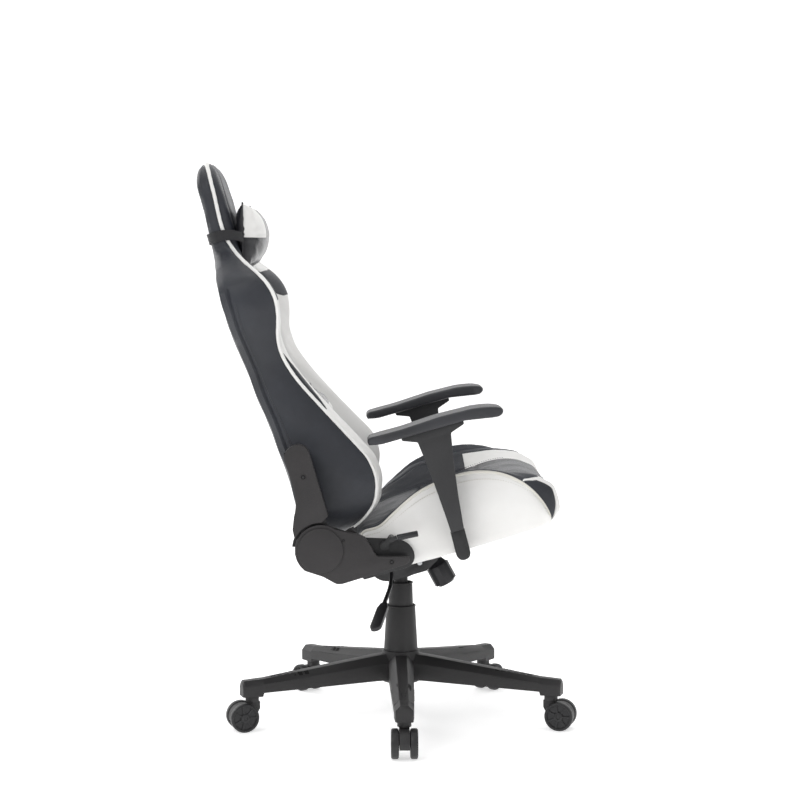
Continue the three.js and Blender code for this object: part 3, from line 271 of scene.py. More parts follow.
def piece(name, points, faces, material, body, matrix=SEAT, smooth=35, replaces=()):
    """One object from points in millimetres, placed by matrix, riding on a body."""
    mesh = bpy.data.meshes.new(name)
    placed = [matrix @ (Vector(p) * 0.001) for p in points]
    mesh.from_pydata([tuple(p) for p in placed], [], [list(f) for f in faces])
    shape = bmesh.new()
    shape.from_mesh(mesh)
    bmesh.ops.remove_doubles(shape, verts=shape.verts, dist=WELD)
    bmesh.ops.dissolve_degenerate(shape, edges=shape.edges, dist=WELD / 2)
    if all(edge.is_manifold for edge in shape.edges):
        bmesh.ops.recalc_face_normals(shape, faces=shape.faces)
    shape.to_mesh(mesh)
    shape.free()
    return dress(added(name, mesh), material, body, smooth, replaces)


def added(name, data):
    """New object in the scene."""
    obj = bpy.data.objects.new(name, data)
    bpy.context.scene.collection.objects.link(obj)
    return obj


def dress(obj, material, body, smooth=35, replaces=()):
    obj.data.materials.clear()
    obj.data.materials.append(material)
    shade(obj, smooth)
    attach(obj, body)
    if replaces:
        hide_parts(*replaces)
    return obj


def shade(obj, angle):
    """Smooth shading that keeps edges sharper than angle, in degrees."""
    mesh = obj.data
    mesh.polygons.foreach_set("use_smooth", [True] * len(mesh.polygons))
    shape = bmesh.new()
    shape.from_mesh(mesh)
    limit = math.radians(angle)
    for edge in shape.edges:
        if len(edge.link_faces) == 2:
            edge.smooth = edge.calc_face_angle(0) < limit
    shape.to_mesh(mesh)
    shape.free()


def apply_modifiers(obj):
    """Bakes an object's modifiers into its mesh."""
    graph = bpy.context.evaluated_depsgraph_get()
    graph.update()
    mesh = bpy.data.meshes.new_from_object(obj.evaluated_get(graph))
    obj.modifiers.clear()
    obj.data = mesh
    return obj


def bevel(obj, width, segments=3):
    """Rounds the sharp edges; width in millimetres."""
    modifier = obj.modifiers.new("bevel", "BEVEL")
    modifier.width = width / 1000
    modifier.segments = segments
    modifier.limit_method = "ANGLE"
    modifier.angle_limit = math.radians(35)
    modifier.harden_normals = False
    modifier.miter_outer = "MITER_ARC"
    apply_modifiers(obj)
    shade(obj, 32)
    return obj


def cad_copy(node, material, width=0.8, segments=2):
    """A finer copy of a CAD node: facets merged and edges rounded."""
    source = frame["nodes"][node]
    mesh = source.data.copy()
    shape = bmesh.new()
    shape.from_mesh(mesh)
    bmesh.ops.remove_doubles(shape, verts=shape.verts, dist=WELD)
    bmesh.ops.dissolve_limit(shape, angle_limit=math.radians(1.5), verts=shape.verts,
                             edges=shape.edges)
    shape.to_mesh(mesh)
    shape.free()
    obj = added(node + "_finished", mesh)
    if width:
        bevel(obj, width, segments)
    return dress(obj, material, BODY_OF[node], 32, (node,))


def grid_faces(rows, columns, wrap=False):
    """Quads between rows of points; wrap joins each row's last point to its first."""
    faces = []
    width = columns if wrap else columns - 1
    for i in range(rows - 1):
        for j in range(width):
            k = (j + 1) % columns
            faces.append((i * columns + j, i * columns + k,
                          (i + 1) * columns + k, (i + 1) * columns + j))
    return faces


def end_faces(rows, columns):
    """The two flat ends of a body made of rings."""
    last = (rows - 1) * columns
    return [tuple(reversed(range(columns))), tuple(range(last, last + columns))]


def tube(path, radius, sides=10, closed=False):
    """Points and faces of a tube along a path; radius may be a list."""
    path = np.asarray(path, float)
    count = len(path)
    radii = np.broadcast_to(np.asarray(radius, float), (count,))
    points, faces = [], []
    if closed:
        tangents = np.roll(path, -1, 0) - np.roll(path, 1, 0)
    else:
        tangents = np.gradient(path, axis=0)
    tangents /= np.linalg.norm(tangents, axis=1)[:, None] + 1e-9
    side = np.cross(tangents[0], (0.31, 0.2, 0.93))
    for i in range(count):
        t = tangents[i]
        side = side - t * (side @ t)
        side /= np.linalg.norm(side) + 1e-9
        out = np.cross(side, t)
        for k in range(sides):
            a = 2 * PI * k / sides
            points.append(path[i] + radii[i] * (math.cos(a) * side + math.sin(a) * out))
    faces += grid_faces(count, sides, True)
    if closed:
        last = (count - 1) * sides
        faces += [(last + k, last + (k + 1) % sides, (k + 1) % sides, k) for k in range(sides)]
    else:
        faces += end_faces(count, sides)
    return points, faces


def curve(points, per_span):
    """Smooth line through points of any dimension."""
    p = np.asarray(points, float)
    p = np.vstack([2 * p[0] - p[1], p, 2 * p[-1] - p[-2]])
    out = []
    for i in range(1, len(p) - 2):
        for t in np.linspace(0, 1, per_span, endpoint=False):
            out.append(spline(p[i - 1], p[i], p[i + 1], p[i + 2], t))
    out.append(p[-2])
    return np.array(out)


def spline(a, b, c, d, t):
    """Catmull-Rom value between b and c."""
    return 0.5 * (2 * b + (c - a) * t + (2 * a - 5 * b + 4 * c - d) * t * t
                  + (3 * b - a - 3 * c + d) * t ** 3)


def merge(parts):
    """Joins several (points, faces) pairs into one."""
    points, faces = [], []
    for some, more in parts:
        offset = len(points)
        points += [tuple(p) for p in some]
        faces += [tuple(offset + i for i in f) for f in more]
    return points, faces


def run_lengths(line):
    """Distance along a line to each of its points."""
    return np.r_[0, np.cumsum(np.linalg.norm(np.diff(line, axis=0), axis=1))]


def mirrored(parts):
    points, faces = parts
    return [(x, -y, z) for x, y, z in points], [tuple(reversed(f)) for f in faces]


def smoothstep(value, low, high):
    t = np.clip((np.asarray(value, float) - low) / (high - low), 0, 1)
    return t * t * (3 - 2 * t)


def ripple(*waves):
    """Fixed sum of sines: (amount, u scale, v scale, phase) for each."""
    def at(u, v):
        return sum(a * np.sin(u * ku + v * kv + phase) for a, ku, kv, phase in waves)
    return at


def stitches(path, lift, length=3.4, pitch=4.8, thick=0.55):
    """Row of short raised stitches along a path; lift is the outward direction of each point."""
    path = np.asarray(path, float)
    lift = np.asarray(lift, float)
    lengths = run_lengths(path)
    parts = []
    start = 1.0
    while start + length < lengths[-1]:
        stops = start + length * np.array([0, 0.25, 0.75, 1])
        line = np.stack([np.interp(stops, lengths, path[:, i]) for i in range(3)], 1)
        out = np.stack([np.interp(stops, lengths, lift[:, i]) for i in range(3)], 1)
        line = line + out * np.array([-0.3, 0.35, 0.35, -0.3])[:, None]
        parts.append(tube(line, [thick * 0.6, thick, thick, thick * 0.6], 6))
        start += pitch
    return merge(parts)


class Skin:
    """Smooth surface through a net of points: net[station][k], right half of a mirrored piece."""

    def __init__(self, net, outward=1, mirror=True):
        self.outward = outward
        net = np.asarray(net, float)
        first, last = (2 * net[0] - net[1])[None], (2 * net[-1] - net[-2])[None]
        net = np.concatenate([first, net, last])
        if mirror:
            flip = np.array([1, -1, 1])
            net = np.concatenate([net[:, 1:2] * flip, net, net[:, -2:-1] * flip], 1)
        self.net = net

    def at(self, v, s):
        rows, columns = self.net.shape[0] - 2, self.net.shape[1] - 2
        i = int(min(max(math.floor(v), 0), rows - 2))
        j = int(min(max(math.floor(s), 0), columns - 2))
        tv, ts = v - i, s - j
        lines = [spline(*self.net[i + a, j:j + 4], ts) for a in range(4)]
        return spline(*lines, tv)

    def normal(self, v, s):
        e = 0.02
        rows, columns = self.net.shape[0] - 3, self.net.shape[1] - 3
        a, b = max(v - e, 0), min(v + e, rows)
        c, d = max(s - e, 0), min(s + e, columns)
        along = self.at(b, s) - self.at(a, s)
        across = self.at(v, d) - self.at(v, c)
        n = np.cross(along, across) * self.outward
        return n / (np.linalg.norm(n) + 1e-9)


def row_places(skin, v, s0, s1, columns):
    """Positions across a panel's row, spaced by length, with extra ones beside its seams."""
    samples = np.linspace(s0, s1, 25)
    line = np.array([skin.at(v, s) for s in samples])
    lengths = run_lengths(line)
    total = lengths[-1]
    edge = np.array([0, 0.9, 2.2, 4.5]) * min(1.0, total / 24 + 1e-6)
    wanted = np.r_[edge, np.linspace(edge[-1], total - edge[-1], columns + 2)[1:-1],
                   total - edge[::-1]]
    return np.interp(wanted, lengths, samples), wanted, total


def at(value):
    return lambda v: value


SEWN, LOOSE = at(1.0), at(0.0)


def panel(skin, stations, low, high, columns=14, lift=0.8, dive=(1.3, 1.3), ends=(True, True),
          wrinkle=None, pucker=0.0, sewn=(SEWN, SEWN)):
    """One sewn panel over a skin. low and high give its borders at each station. Its edges dive
    into the seams, where sewn() is 1, and run on flat where it is 0. Returns points, faces."""
    grid, distances = [], []
    for v in stations:
        s0, s1 = low(v), high(v)
        places, wanted, total = row_places(skin, v, s0, s1, columns)
        grid.append([(v, s) for s in places])
        distances.append([(w + 60 * (1 - sewn[0](v)), total - w + 60 * (1 - sewn[1](v)))
                          for w in wanted])
    base = np.array([[skin.at(v, s) for v, s in row] for row in grid])
    middle = base[:, base.shape[1] // 2]
    run = run_lengths(middle)
    points = []
    for i, row in enumerate(grid):
        for j, (v, s) in enumerate(row):
            near = min(distances[i][j])
            depth = dive[0] if distances[i][j][0] < distances[i][j][1] else dive[1]
            if ends[0]:
                near = min(near, run[i])
            if ends[1]:
                near = min(near, run[-1] - run[i])
            height = -depth + (lift + depth) * smoothstep(near, 0, 3.2)
            x, y, z = base[i, j]
            if wrinkle is not None:
                height = height + wrinkle(x + z, 2.2 * math.hypot(y, 30)) \
                    * smoothstep(near, 2, 18)
            if pucker:
                height = height + pucker * math.sin(run[i] / 2.6 + math.sin(run[i] / 31) * 3) \
                    * float(np.exp(-near / 7)) * float(smoothstep(near, 0, 2.5))
            points.append(base[i, j] + skin.normal(v, s) * height)
    return points, grid_faces(len(grid), len(grid[0]))


def seam_line(skin, stations, place, height):
    """Points along a seam, raised by height, and their outward directions."""
    line, out = [], []
    for v in stations:
        s = place(v)
        n = skin.normal(v, s)
        out.append(n)
        line.append(skin.at(v, s) + n * height)
    return np.array(line), np.array(out)


def shell(skin, stations, columns, sink):
    """Closed body under the panels, both halves, with flat ends."""
    rings = []
    for v in stations:
        half = [skin.at(v, s) - skin.normal(v, s) * sink
                for s in np.linspace(0, columns[0], columns[1])]
        half[0][1] = half[-1][1] = 0.0
        other = [p * np.array([1, -1, 1]) for p in half[-2:0:-1]]
        rings.append(half + other)
    count = len(rings[0])
    points = [p for ring in rings for p in ring]
    faces = grid_faces(len(rings), count, True)
    points += [np.mean(rings[0], 0), np.mean(rings[-1], 0)]
    start, end = len(points) - 2, len(points) - 1
    last = (len(rings) - 1) * count
    faces += [(start, (k + 1) % count, k) for k in range(count)]
    faces += [(end, last + k, last + (k + 1) % count) for k in range(count)]
    return points, faces


# ---- Back ---------------------------------------------------------------------------------

# z, half width, rear, piping, crest, middle of the front: x of each, seat frame
BACK_ROWS = [
    (8, 196, -20, 52, 44, 22), (26, 226, -22, 88, 88, 20), (47, 240, -23, 114, 119, 18),
    (71, 247, -24, 127, 132, 16), (98, 249, -24, 133, 138, 14), (131, 248, -23, 129, 135, 13),
    (156, 246, -24, 118, 124, 11), (191, 243, -28, 100, 106, 9), (240, 239, -32, 75, 81, 8),
    (297, 236, -39, 47, 54, 8), (335, 237, -41, 34, 41, 7), (364, 242, -44, 30, 36, 6),
    (391, 249, -47, 33, 36, 6), (426, 260, -50, 44, 43, 6), (457, 267, -50, 48, 46, 6),
    (485, 265, -50, 42, 40, 5), (509, 252, -49, 29, 27, 4), (535, 208, -48, 10, 9, 2),
    (560, 152, -47, -5, 3, 1), (584, 141, -46, -13, 2, 0), (610, 141, -45, -16, 2, 0),
    (640, 142, -42, -15, 2, 0), (670, 141, -41, -13, 2, 0), (694, 136, -40, -12.5, 1, -1),
    (710, 127, -37, -12, -1, -3), (721, 115, -32, -12, -4, -7), (728, 98, -25, -12.5, -8, -10),
    (731, 78, -17, -12.5, -10, -12),
]


def back_station(row):
    """Half outline of the back at one height: rear middle, side, piping, crest, front middle."""
    z, half, rear, pipe, crest, middle = row
    bolster = min(86, half * 0.5)
    soft = min(1.0, (pipe - rear) / 40)
    return [
        (rear, 0, z),
        (rear, -half * 0.5, z),
        (rear + 1, -half + 22 * soft, z),
        (rear + 8 * soft, -half + 4 * soft, z),
        (rear + 18 * soft, -half, z),
        ((rear + 18 * soft) * 0.45 + pipe * 0.55, -half - 3 * soft, z),
        (pipe - 2, -half + 3, z),
        (pipe + (crest - pipe) * 0.75 + 1, -half + 14, z),
        (crest, -half + 34, z),
        (crest * 0.5 + middle * 0.5, -half + bolster * 0.8, z),
        (middle - 1, -half + bolster + 6, z),
        (middle + 3, -half * 0.36, z),
        (middle + 4, 0, z),
    ]


BACK = Skin([back_station(row) for row in BACK_ROWS], -1)
BACK_Z = [row[0] for row in BACK_ROWS]
REAR_SEAM, PIPE, VALLEY = 4.0, 6.0, 9.9
TOP = len(BACK_ROWS) - 1


def back_v(z):
    """Station of the back at a height."""
    return float(np.interp(z, BACK_Z, range(len(BACK_Z))))


def rows(low, high, step=6.0):
    """Stations of the back from one height to another."""
    count = max(2, int(round((high - low) / step)) + 1)
    return [back_v(z) for z in np.linspace(low, high, count)]


def both_sides(name, parts, material, body):
    """A piece of the sitter's right half and its mirror image."""
    for side, shape in (("right", parts), ("left", mirrored(parts))):
        piece(f"{name}_{side}", *shape, material, body)


def seam_stitches(name, skin, stations, s, lift, material, body):
    """Stitches on both halves of a skin, along one place across it."""
    line, out = seam_line(skin, stations, at(s), lift)
    both_sides(f"{name}_stitch", stitches(line, out), material, body)


BACK_WAVES = ripple((0.7, 0.031, 0.021, 0.4), (0.45, 0.057, -0.043, 1.9), (0.3, 0.11, 0.07, 4.0))


def back_body():
    stations = rows(8, 731, 9)
    body = piece("back_foam_and_cover", *shell(BACK, stations, (12, 41), 1.6), BLACK, "back",
                 smooth=60, replaces=("back_cushion", "back_rear_panel"))


def back_height(v):
    """Height of a station of the back, the reverse of back_v()."""
    return float(np.interp(v, range(len(BACK_Z)), BACK_Z))


def lens_high(v):
    """Inner border of the dark pointed insert in a bolster."""
    return PIPE + 0.25 + 1.0 * math.sin(PI * np.clip((back_height(v) - 236) / 122, 0, 1))


def wing_high(v):
    """Inner border of the dark insert in a shoulder."""
    return float(np.interp(back_height(v), [449, 454, 475, 514], [7.7, 8.4, 9.6, 9.7]))


def rear_seam(v):
    """The seam between rear and side stops below the shoulders."""
    return 1 - float(smoothstep(back_height(v), 494, 508))


def back_panels():
    stations = rows(12, 729, 6)
    rear = panel(BACK, stations, at(0), at(REAR_SEAM), 16, 0.8, (0, 1.8), (True, False),
                 BACK_WAVES, 0.2, (LOOSE, rear_seam))
    both_sides("rear_shell_cover", rear, BLACK, "back")
    side = panel(BACK, stations, at(REAR_SEAM), at(PIPE), 18, 0.8, (1.8, 0.5), (True, False),
                 BACK_WAVES, 0.3, (rear_seam, SEWN))
    both_sides("side_panel", side, BLACK, "back")
    front = panel(BACK, rows(12, 545, 6), at(PIPE), at(VALLEY), 22, 0.9, (0.5, 1.2),
                  (True, True), BACK_WAVES, 0.35)
    both_sides("bolster_front", front, WHITE, "back")
    lens = panel(BACK, rows(237, 357, 4), at(PIPE + 0.1), lens_high, 6, 2.8, (-0.9, -0.9))
    both_sides("bolster_insert", lens, BLACK, "back")
    wing = panel(BACK, rows(450, 514, 4), at(7.1), wing_high, 10, 2.8, (-0.9, -0.9))
    both_sides("shoulder_insert", wing, BLACK, "back")
    head = panel(BACK, rows(547, 729, 6), at(PIPE), at(VALLEY), 16, 0.8, (0.5, 0.9),
                 (True, False), BACK_WAVES, 0.45)
    both_sides("head_bolster", head, BLACK, "back")
    for name, low, high in (("lumbar", 14, 232), ("middle", 233, 395), ("shoulder", 396, 545),
                            ("head", 546, 729)):
        half = panel(BACK, rows(low, high, 7), at(VALLEY), at(12), 14, 1.2, (1.3, 0),
                     (True, low < 546), BACK_WAVES, 0.3, (SEWN, LOOSE))
        piece(f"{name}_panel", *merge([half, mirrored(half)]), BLACK, "back")


def back_piping():
    stations = rows(16, 730, 5)
    line, _ = seam_line(BACK, stations, at(PIPE), 1.3)
    radius = np.interp(line[:, 2], [0, 120, 520, 600, 731], [2.8, 3.0, 3.4, 3.9, 3.9])
    top = BACK.at(TOP, PIPE) + (0, 0, 1.5)
    across = [(top[0], y, top[2]) for y in np.linspace(top[1] + 8, -top[1] - 8, 26)]
    path = np.vstack([line, across, (line * (1, -1, 1))[::-1]])
    size = np.r_[radius, np.full(26, 3.9), radius[::-1]]
    bumps = 1 + 0.05 * np.sin(np.arange(len(path)) * 1.9)
    piece("back_piping", *tube(path, size * bumps, 12), WHITE, "back", smooth=70)


def back_stitching():
    for name, low, high, s, lift, material in (
            ("rear_seam", 30, 470, REAR_SEAM + 0.22, 1.0, DARK_THREAD),
            ("bolster", 20, 540, VALLEY - 0.1, 0.7, PALE_THREAD),
            ("centre", 20, 725, VALLEY + 0.16, 0.9, DARK_THREAD)):
        seam_stitches(name, BACK, rows(low, high, 5), s, lift, material, "back")


# ---- Seat ---------------------------------------------------------------------------------

# Piping, crest, valley and middle lines (x, z), half width at the side
SEAT_ROWS = [
    ((70, -14), (66, -14), (64, -18), (62, -20), 224),
    ((82, 3), (80, 6), (80, -6), (80, -8), 236),
    ((112, 6), (112, 10), (112, -3), (112, -4), 249),
    ((141, 21), (141, 22), (141, 0), (141, 0), 254),
    ((170, 36), (170, 31), (170, 3), (170, 3), 256),
    ((199, 48), (200, 42), (200, 6), (200, 5), 258),
    ((232, 55), (233, 46), (232, 9), (232, 7), 258),
    ((268, 58), (270, 46), (268, 12), (268, 9), 258),
    ((300, 56), (304, 43), (300, 14), (300, 11), 258),
    ((330, 48), (338, 38), (332, 16), (330, 12), 258),
    ((356, 35), (366, 33), (358, 16), (355, 12), 258),
    ((380, 15), (392, 24), (383, 12), (380, 9), 257),
    ((396, -6), (412, 14), (404, 4), (401, 2), 255),
    ((407, -28), (426, 0), (419, -6), (415, -8), 252),
    ((413, -47), (438, -14), (432, -18), (429, -18), 249),
    ((415, -60), (441, -38), (437, -36), (435, -36), 246),
    ((414, -69), (439, -58), (436, -54), (434, -54), 243),
    ((410, -73), (428, -72), (427, -70), (426, -70), 240),
]


def seat_station(row):
    """Half outline of the seat at one row: underside, side, piping, crest, valley, middle."""
    (px, pz), (cx, cz), (vx, vz), (mx, mz), half = row
    bottom = min(pz - 1, -72)
    front = max(0.0, (px - 380) / 35)
    under = min(px, 411)
    lip = -57.6 - 12 * smoothstep(px, 409, 415)
    low = (bottom + pz) / 2
    return [
        (under, 0, lip),
        (under, -half + 40, lip),
        (under, -half + 21.5, lip),
        (under + 1, -half + 17, bottom + 1.5),
        (px - 3 * front, -half + 6, bottom),
        (px, -half, min(low, pz - 1)),
        (px, -half + 11, pz - 1.4),
        (px * 0.4 + cx * 0.6, -half + 22, pz * 0.35 + cz * 0.65),
        (cx, -half + 36, cz),
        ((cx + vx) / 2, -half + 62, cz * 0.45 + vz * 0.55),
        (vx, -half + 84, vz),
        (vx * 0.4 + mx * 0.6, -half * 0.36, mz + 3),
        (mx, 0, mz + 4),
    ]


SEAT_SKIN = Skin([seat_station(row) for row in SEAT_ROWS])
SEAT_END = len(SEAT_ROWS) - 1
SEAT_PIPE, SEAT_EDGE, SEAT_VALLEY = 6.0, 8.15, 10.0
SEAT_WAVES = ripple((0.9, 0.024, 0.03, 0.2), (0.5, 0.05, -0.06, 2.2), (0.25, 0.1, 0.09, 1.0))


def seat_rows(low, high, per=6):
    """Stations of the seat between two of its rows."""
    return list(np.linspace(low, high, max(2, int((high - low) * per) + 1)))


def seat_body():
    foam = shell(SEAT_SKIN, seat_rows(0, SEAT_END, 4), (12, 45), 1.4)
    body = piece("seat_foam_and_cover", *foam, BLACK, "seat", smooth=60,
                 replaces=("seat_cushion",))


def front_patch(v):
    """Inner border of the dark insert at a front corner of the seat."""
    return float(np.interp(v, [11.2, 11.6, 12.2, 13, 14, 15, 16, 16.5],
                           [6.15, 6.6, 7.2, 7.45, 7.5, 7.2, 6.5, 6.2]))


def front_band(v):
    """The pale band inside that insert."""
    return front_patch(v) + 0.45


def seat_panels():
    side = panel(SEAT_SKIN, seat_rows(0.4, 16.6), at(3.4), at(SEAT_PIPE), 16, 1.6, (1.0, 0.6),
                 (True, True), SEAT_WAVES, 0.15)
    both_sides("seat_side", side, WHITE, "seat")
    for name, low, high, inner, outer, material in (
            ("top", 0.4, 12.3, at(SEAT_PIPE), SEAT_EDGE, GREY),
            ("front", 12.3, 16.6, front_patch, SEAT_EDGE, WHITE),
            ("inner_rear", 0.4, 8.0, at(SEAT_EDGE), SEAT_VALLEY, BLACK),
            ("inner_front", 8.0, 16.6, at(SEAT_EDGE), SEAT_VALLEY, WHITE)):
        shape = panel(SEAT_SKIN, seat_rows(low, high), inner, at(outer), 14, 1.1,
                      (0.5, 1.0), (True, True), SEAT_WAVES, 0.25)
        both_sides(f"seat_bolster_{name}", shape, material, "seat")
    band = panel(SEAT_SKIN, seat_rows(11.2, 16.6), front_patch, front_band, 6, 3.2,
                 (-1.2, -1.2))
    both_sides("seat_front_band", band, WHITE, "seat")
    patch = panel(SEAT_SKIN, seat_rows(11.2, 16.4), at(SEAT_PIPE), front_patch, 8, 2.8,
                  (0.4, -0.6))
    both_sides("seat_front_insert", patch, BLACK, "seat")
    for name, low, high in (("rear", 0.4, 5.0), ("middle", 5.04, 8.6), ("front", 8.64, 16.6)):
        half = panel(SEAT_SKIN, seat_rows(low, high), at(SEAT_VALLEY), at(12), 16, 1.6,
                     (1.4, 0), (True, True), SEAT_WAVES, 0.2, (SEWN, LOOSE))
        piece(f"seat_{name}_panel", *merge([half, mirrored(half)]), BLACK, "seat")


def seat_piping():
    line, _ = seam_line(SEAT_SKIN, seat_rows(0.3, 16.8), at(SEAT_PIPE), 1.2)
    both_sides("seat_piping", tube(line, 2.5, 10), CREAM, "seat")
    for name, high, s, lift, material in (
            ("side", 16.4, SEAT_PIPE - 0.3, 1.7, PALE_THREAD),
            ("centre", 16.4, SEAT_VALLEY + 0.14, 1.4, DARK_THREAD),
            ("bolster", 11.0, SEAT_VALLEY - 0.16, 1.0, DARK_THREAD)):
        seam_stitches(f"seat_{name}", SEAT_SKIN, seat_rows(0.6, high), s, lift, material, "seat")


# ---- Pillows ------------------------------------------------------------------------------

def pillow_mesh(half, height, front, rear):
    """Two faces sewn round a rectangle with drawn-in edges and pointed corners: u across, w up,
    front and rear how far each face bulges."""
    sides, steps = 20, 34
    points, faces = [], []
    for face in (1, -1):
        offset = len(points)
        for i in range(steps + 1):
            for j in range(sides + 1):
                u, w = 2 * i / steps - 1, 2 * j / sides - 1
                pull = 1 - 0.10 * (1 - abs(u) ** 3) * abs(w) ** 3
                draw = 1 - 0.09 * (1 - abs(w) ** 3) * abs(u) ** 3
                crown = ((1 - u ** 4) * (1 - w ** 2)) ** 0.55
                points.append(((front if face > 0 else -rear) * crown, u * half * draw,
                               w * height / 2 * pull))
        for i in range(steps):
            for j in range(sides):
                a = offset + i * (sides + 1) + j
                quad = (a, a + sides + 1, a + sides + 2, a + 1)
                faces.append(quad if face > 0 else tuple(reversed(quad)))
    return points, faces


def stuffed(node, matrix, sizes, cap, rides):
    """A filled pillow in place of a CAD node; sizes are those of pillow_mesh()."""
    points, faces = pillow_mesh(*sizes)
    body = piece(f"{node}_body", points, faces, GLOSSY, rides, matrix, 80, (node,))
    inflate(body, matrix, *sizes[:2], cap)
    soften(body)
    return body


CLOTH_FRAMES = 20


def inflate(obj, matrix, half, height, cap):
    """Cloth under pressure, each point kept within cap millimetres of its start and the sewn
    edge held where it is."""
    start = np.array([v.co for v in obj.data.vertices])
    inverse = matrix.inverted()
    local = np.array([inverse @ v.co for v in obj.data.vertices]) * 1000
    free = (1 - smoothstep(np.abs(local[:, 1]), half * 0.72, half * 0.9)) \
        * (1 - smoothstep(np.abs(local[:, 2]), height * 0.34, height * 0.46))
    scene = bpy.context.scene
    scene.frame_set(1)
    modifier = obj.modifiers.new("cloth", "CLOTH")
    settings = modifier.settings
    settings.quality = 5
    settings.mass = 0.25
    settings.tension_stiffness = settings.compression_stiffness = 18
    settings.shear_stiffness = 8
    settings.bending_stiffness = 0.35
    settings.use_pressure = True
    settings.uniform_pressure_force = 2.2
    settings.effector_weights.gravity = 0
    modifier.point_cache.frame_start, modifier.point_cache.frame_end = 1, CLOTH_FRAMES
    for step in range(1, CLOTH_FRAMES + 1):
        scene.frame_set(step)
    graph = bpy.context.evaluated_depsgraph_get()
    done = obj.evaluated_get(graph).to_mesh()
    moved = np.array([v.co for v in done.vertices])
    obj.modifiers.clear()
    shift = moved - start
    size = np.linalg.norm(shift, axis=1)[:, None] + 1e-9
    shift *= np.minimum(1, cap / 1000 / size) * free[:, None]
    for vertex, place in zip(obj.data.vertices, start + shift):
        vertex.co = place
    scene.frame_set(1)


def pillow_frame(x, z, turn):
    """A pillow's middle plane in front of the back, tipped by turn."""
    return SEAT @ Matrix.Translation((x / 1000, 0, z / 1000)) @ Matrix.Rotation(turn, 4, "Y")


def neck_pillow():
    at_head = pillow_frame(15, 584, math.radians(16))
    body = stuffed("neck_pillow", at_head, (136, 123, 48, 20), 6, "neck_pillow")
    reshape(body, at_head, puckers)
    reshape(body, SEAT, head_front)
    return body, at_head


def reshape(obj, matrix, forward):
    """Gives each point a new x in the matrix's frame, in millimetres."""
    inverse = matrix.inverted()
    for vertex in obj.data.vertices:
        p = inverse @ vertex.co * 1000
        p.x = forward(p)
        vertex.co = matrix @ (p / 1000)


def head_front(p):
    """The rear of the neck pillow lies flat against the front of the headrest."""
    front = float(np.interp(abs(p.y), [0, 85, 107, 125, 138, 142], [5, 3, 4, 1, -9, -16]))
    return max(p.x, front + 2)


def soften(obj):
    """One subdivision of a pillow's cloth."""
    modifier = obj.modifiers.new("subdivision", "SUBSURF")
    modifier.levels = modifier.render_levels = 1
    apply_modifiers(obj)
    shade(obj, 70)


def puckers(p):
    """Radial folds that run in from a pillow's ends, where its cover is gathered."""
    reach = float(smoothstep(abs(p.y), 50, 112) * (1 - smoothstep(abs(p.y), 116, 132)))
    angle = math.atan2(p.z, 150 - abs(p.y))
    fold = math.sin(angle * 17 + 0.8 * math.sin(angle * 5)) * 1.6 * reach
    dent = 1.1 * math.sin(p.z / 11 + 1.3 * math.sin(p.y / 23)) * reach
    return p.x + (fold + dent) * (1 if p.x > 0 else 0.4)


def pillow_cover(body, matrix, name, keep, lift, material, rides):
    """Panel sewn over part of a pillow's front: the faces keep() accepts, raised by lift."""
    inverse = matrix.inverted()
    source = body.data
    local = [inverse @ v.co * 1000 for v in source.vertices]
    normals = [v.normal for v in source.vertices]
    used, points, faces = {}, [], []
    for polygon in source.polygons:
        middle = sum((local[i] for i in polygon.vertices), Vector()) / len(polygon.vertices)
        if polygon.index >= len(source.polygons) / 2 or not keep(middle):
            continue
        face = []
        for i in polygon.vertices:
            if i not in used:
                used[i] = len(points)
                points.append(source.vertices[i].co * 1000 + normals[i] * lift)
            face.append(used[i])
        faces.append(face)
    return piece(name, points, faces, material, rides, WORLD, 70)


def neck_pillow_details(body, matrix):
    white = pillow_cover(body, matrix, "neck_pillow_white",
                         lambda p: p.z > -4 and abs(p.y) > 62, 0.7, WHITE,
                         "neck_pillow")
    trim_border(white)
    points = surface_line(body, matrix, [(y, -4.0) for y in np.linspace(-122, 122, 60)], 0.9)
    piece("neck_pillow_seam", *tube(points, 0.9, 6), DARK_THREAD, "neck_pillow",
          WORLD, 70)
    rim = pillow_rim(137, 124)
    piece("neck_pillow_piping", *tube(rim, 1.6, 8, closed=True), GLOSSY, "neck_pillow",
          matrix, 70)


def trim_border(obj):
    """Thin edge that turns under all round an open panel."""
    modifier = obj.modifiers.new("solid", "SOLIDIFY")
    modifier.thickness = 0.0012
    modifier.offset = -1
    apply_modifiers(obj)
    shade(obj, 70)


def surface_line(body, matrix, places, lift):
    """Points on a pillow's front at (y, z) places, in millimetres of the whole model's frame."""
    bpy.context.evaluated_depsgraph_get().update()
    out = []
    inverse = body.matrix_world.inverted()
    for y, z in places:
        start = inverse @ (matrix @ Vector((0.2, y / 1000, z / 1000)))
        end = inverse @ (matrix @ Vector((-0.2, y / 1000, z / 1000)))
        hit, point, normal = body.ray_cast(start, (end - start).normalized(), distance=0.5)[:3]
        if hit:
            out.append(body.matrix_world @ (point + normal * lift / 1000) * 1000)
    return out


def pillow_rim(half, height):
    """Closed line round the sewn edge of pillow_mesh()."""
    steps = 40
    rim = []
    for w_side, order in ((-1, 1), (1, -1)):
        for i in range(steps):
            u = (2 * i / steps - 1) * order
            rim.append((0, u * half, w_side * height / 2 * (1 - 0.10 * (1 - abs(u) ** 3))))
        for j in range(1, 12):
            w = w_side * (1 - 2 * j / 12)
            rim.append((0, order * half * (1 - 0.09 * (1 - abs(w) ** 3)), w * height / 2))
    return rim


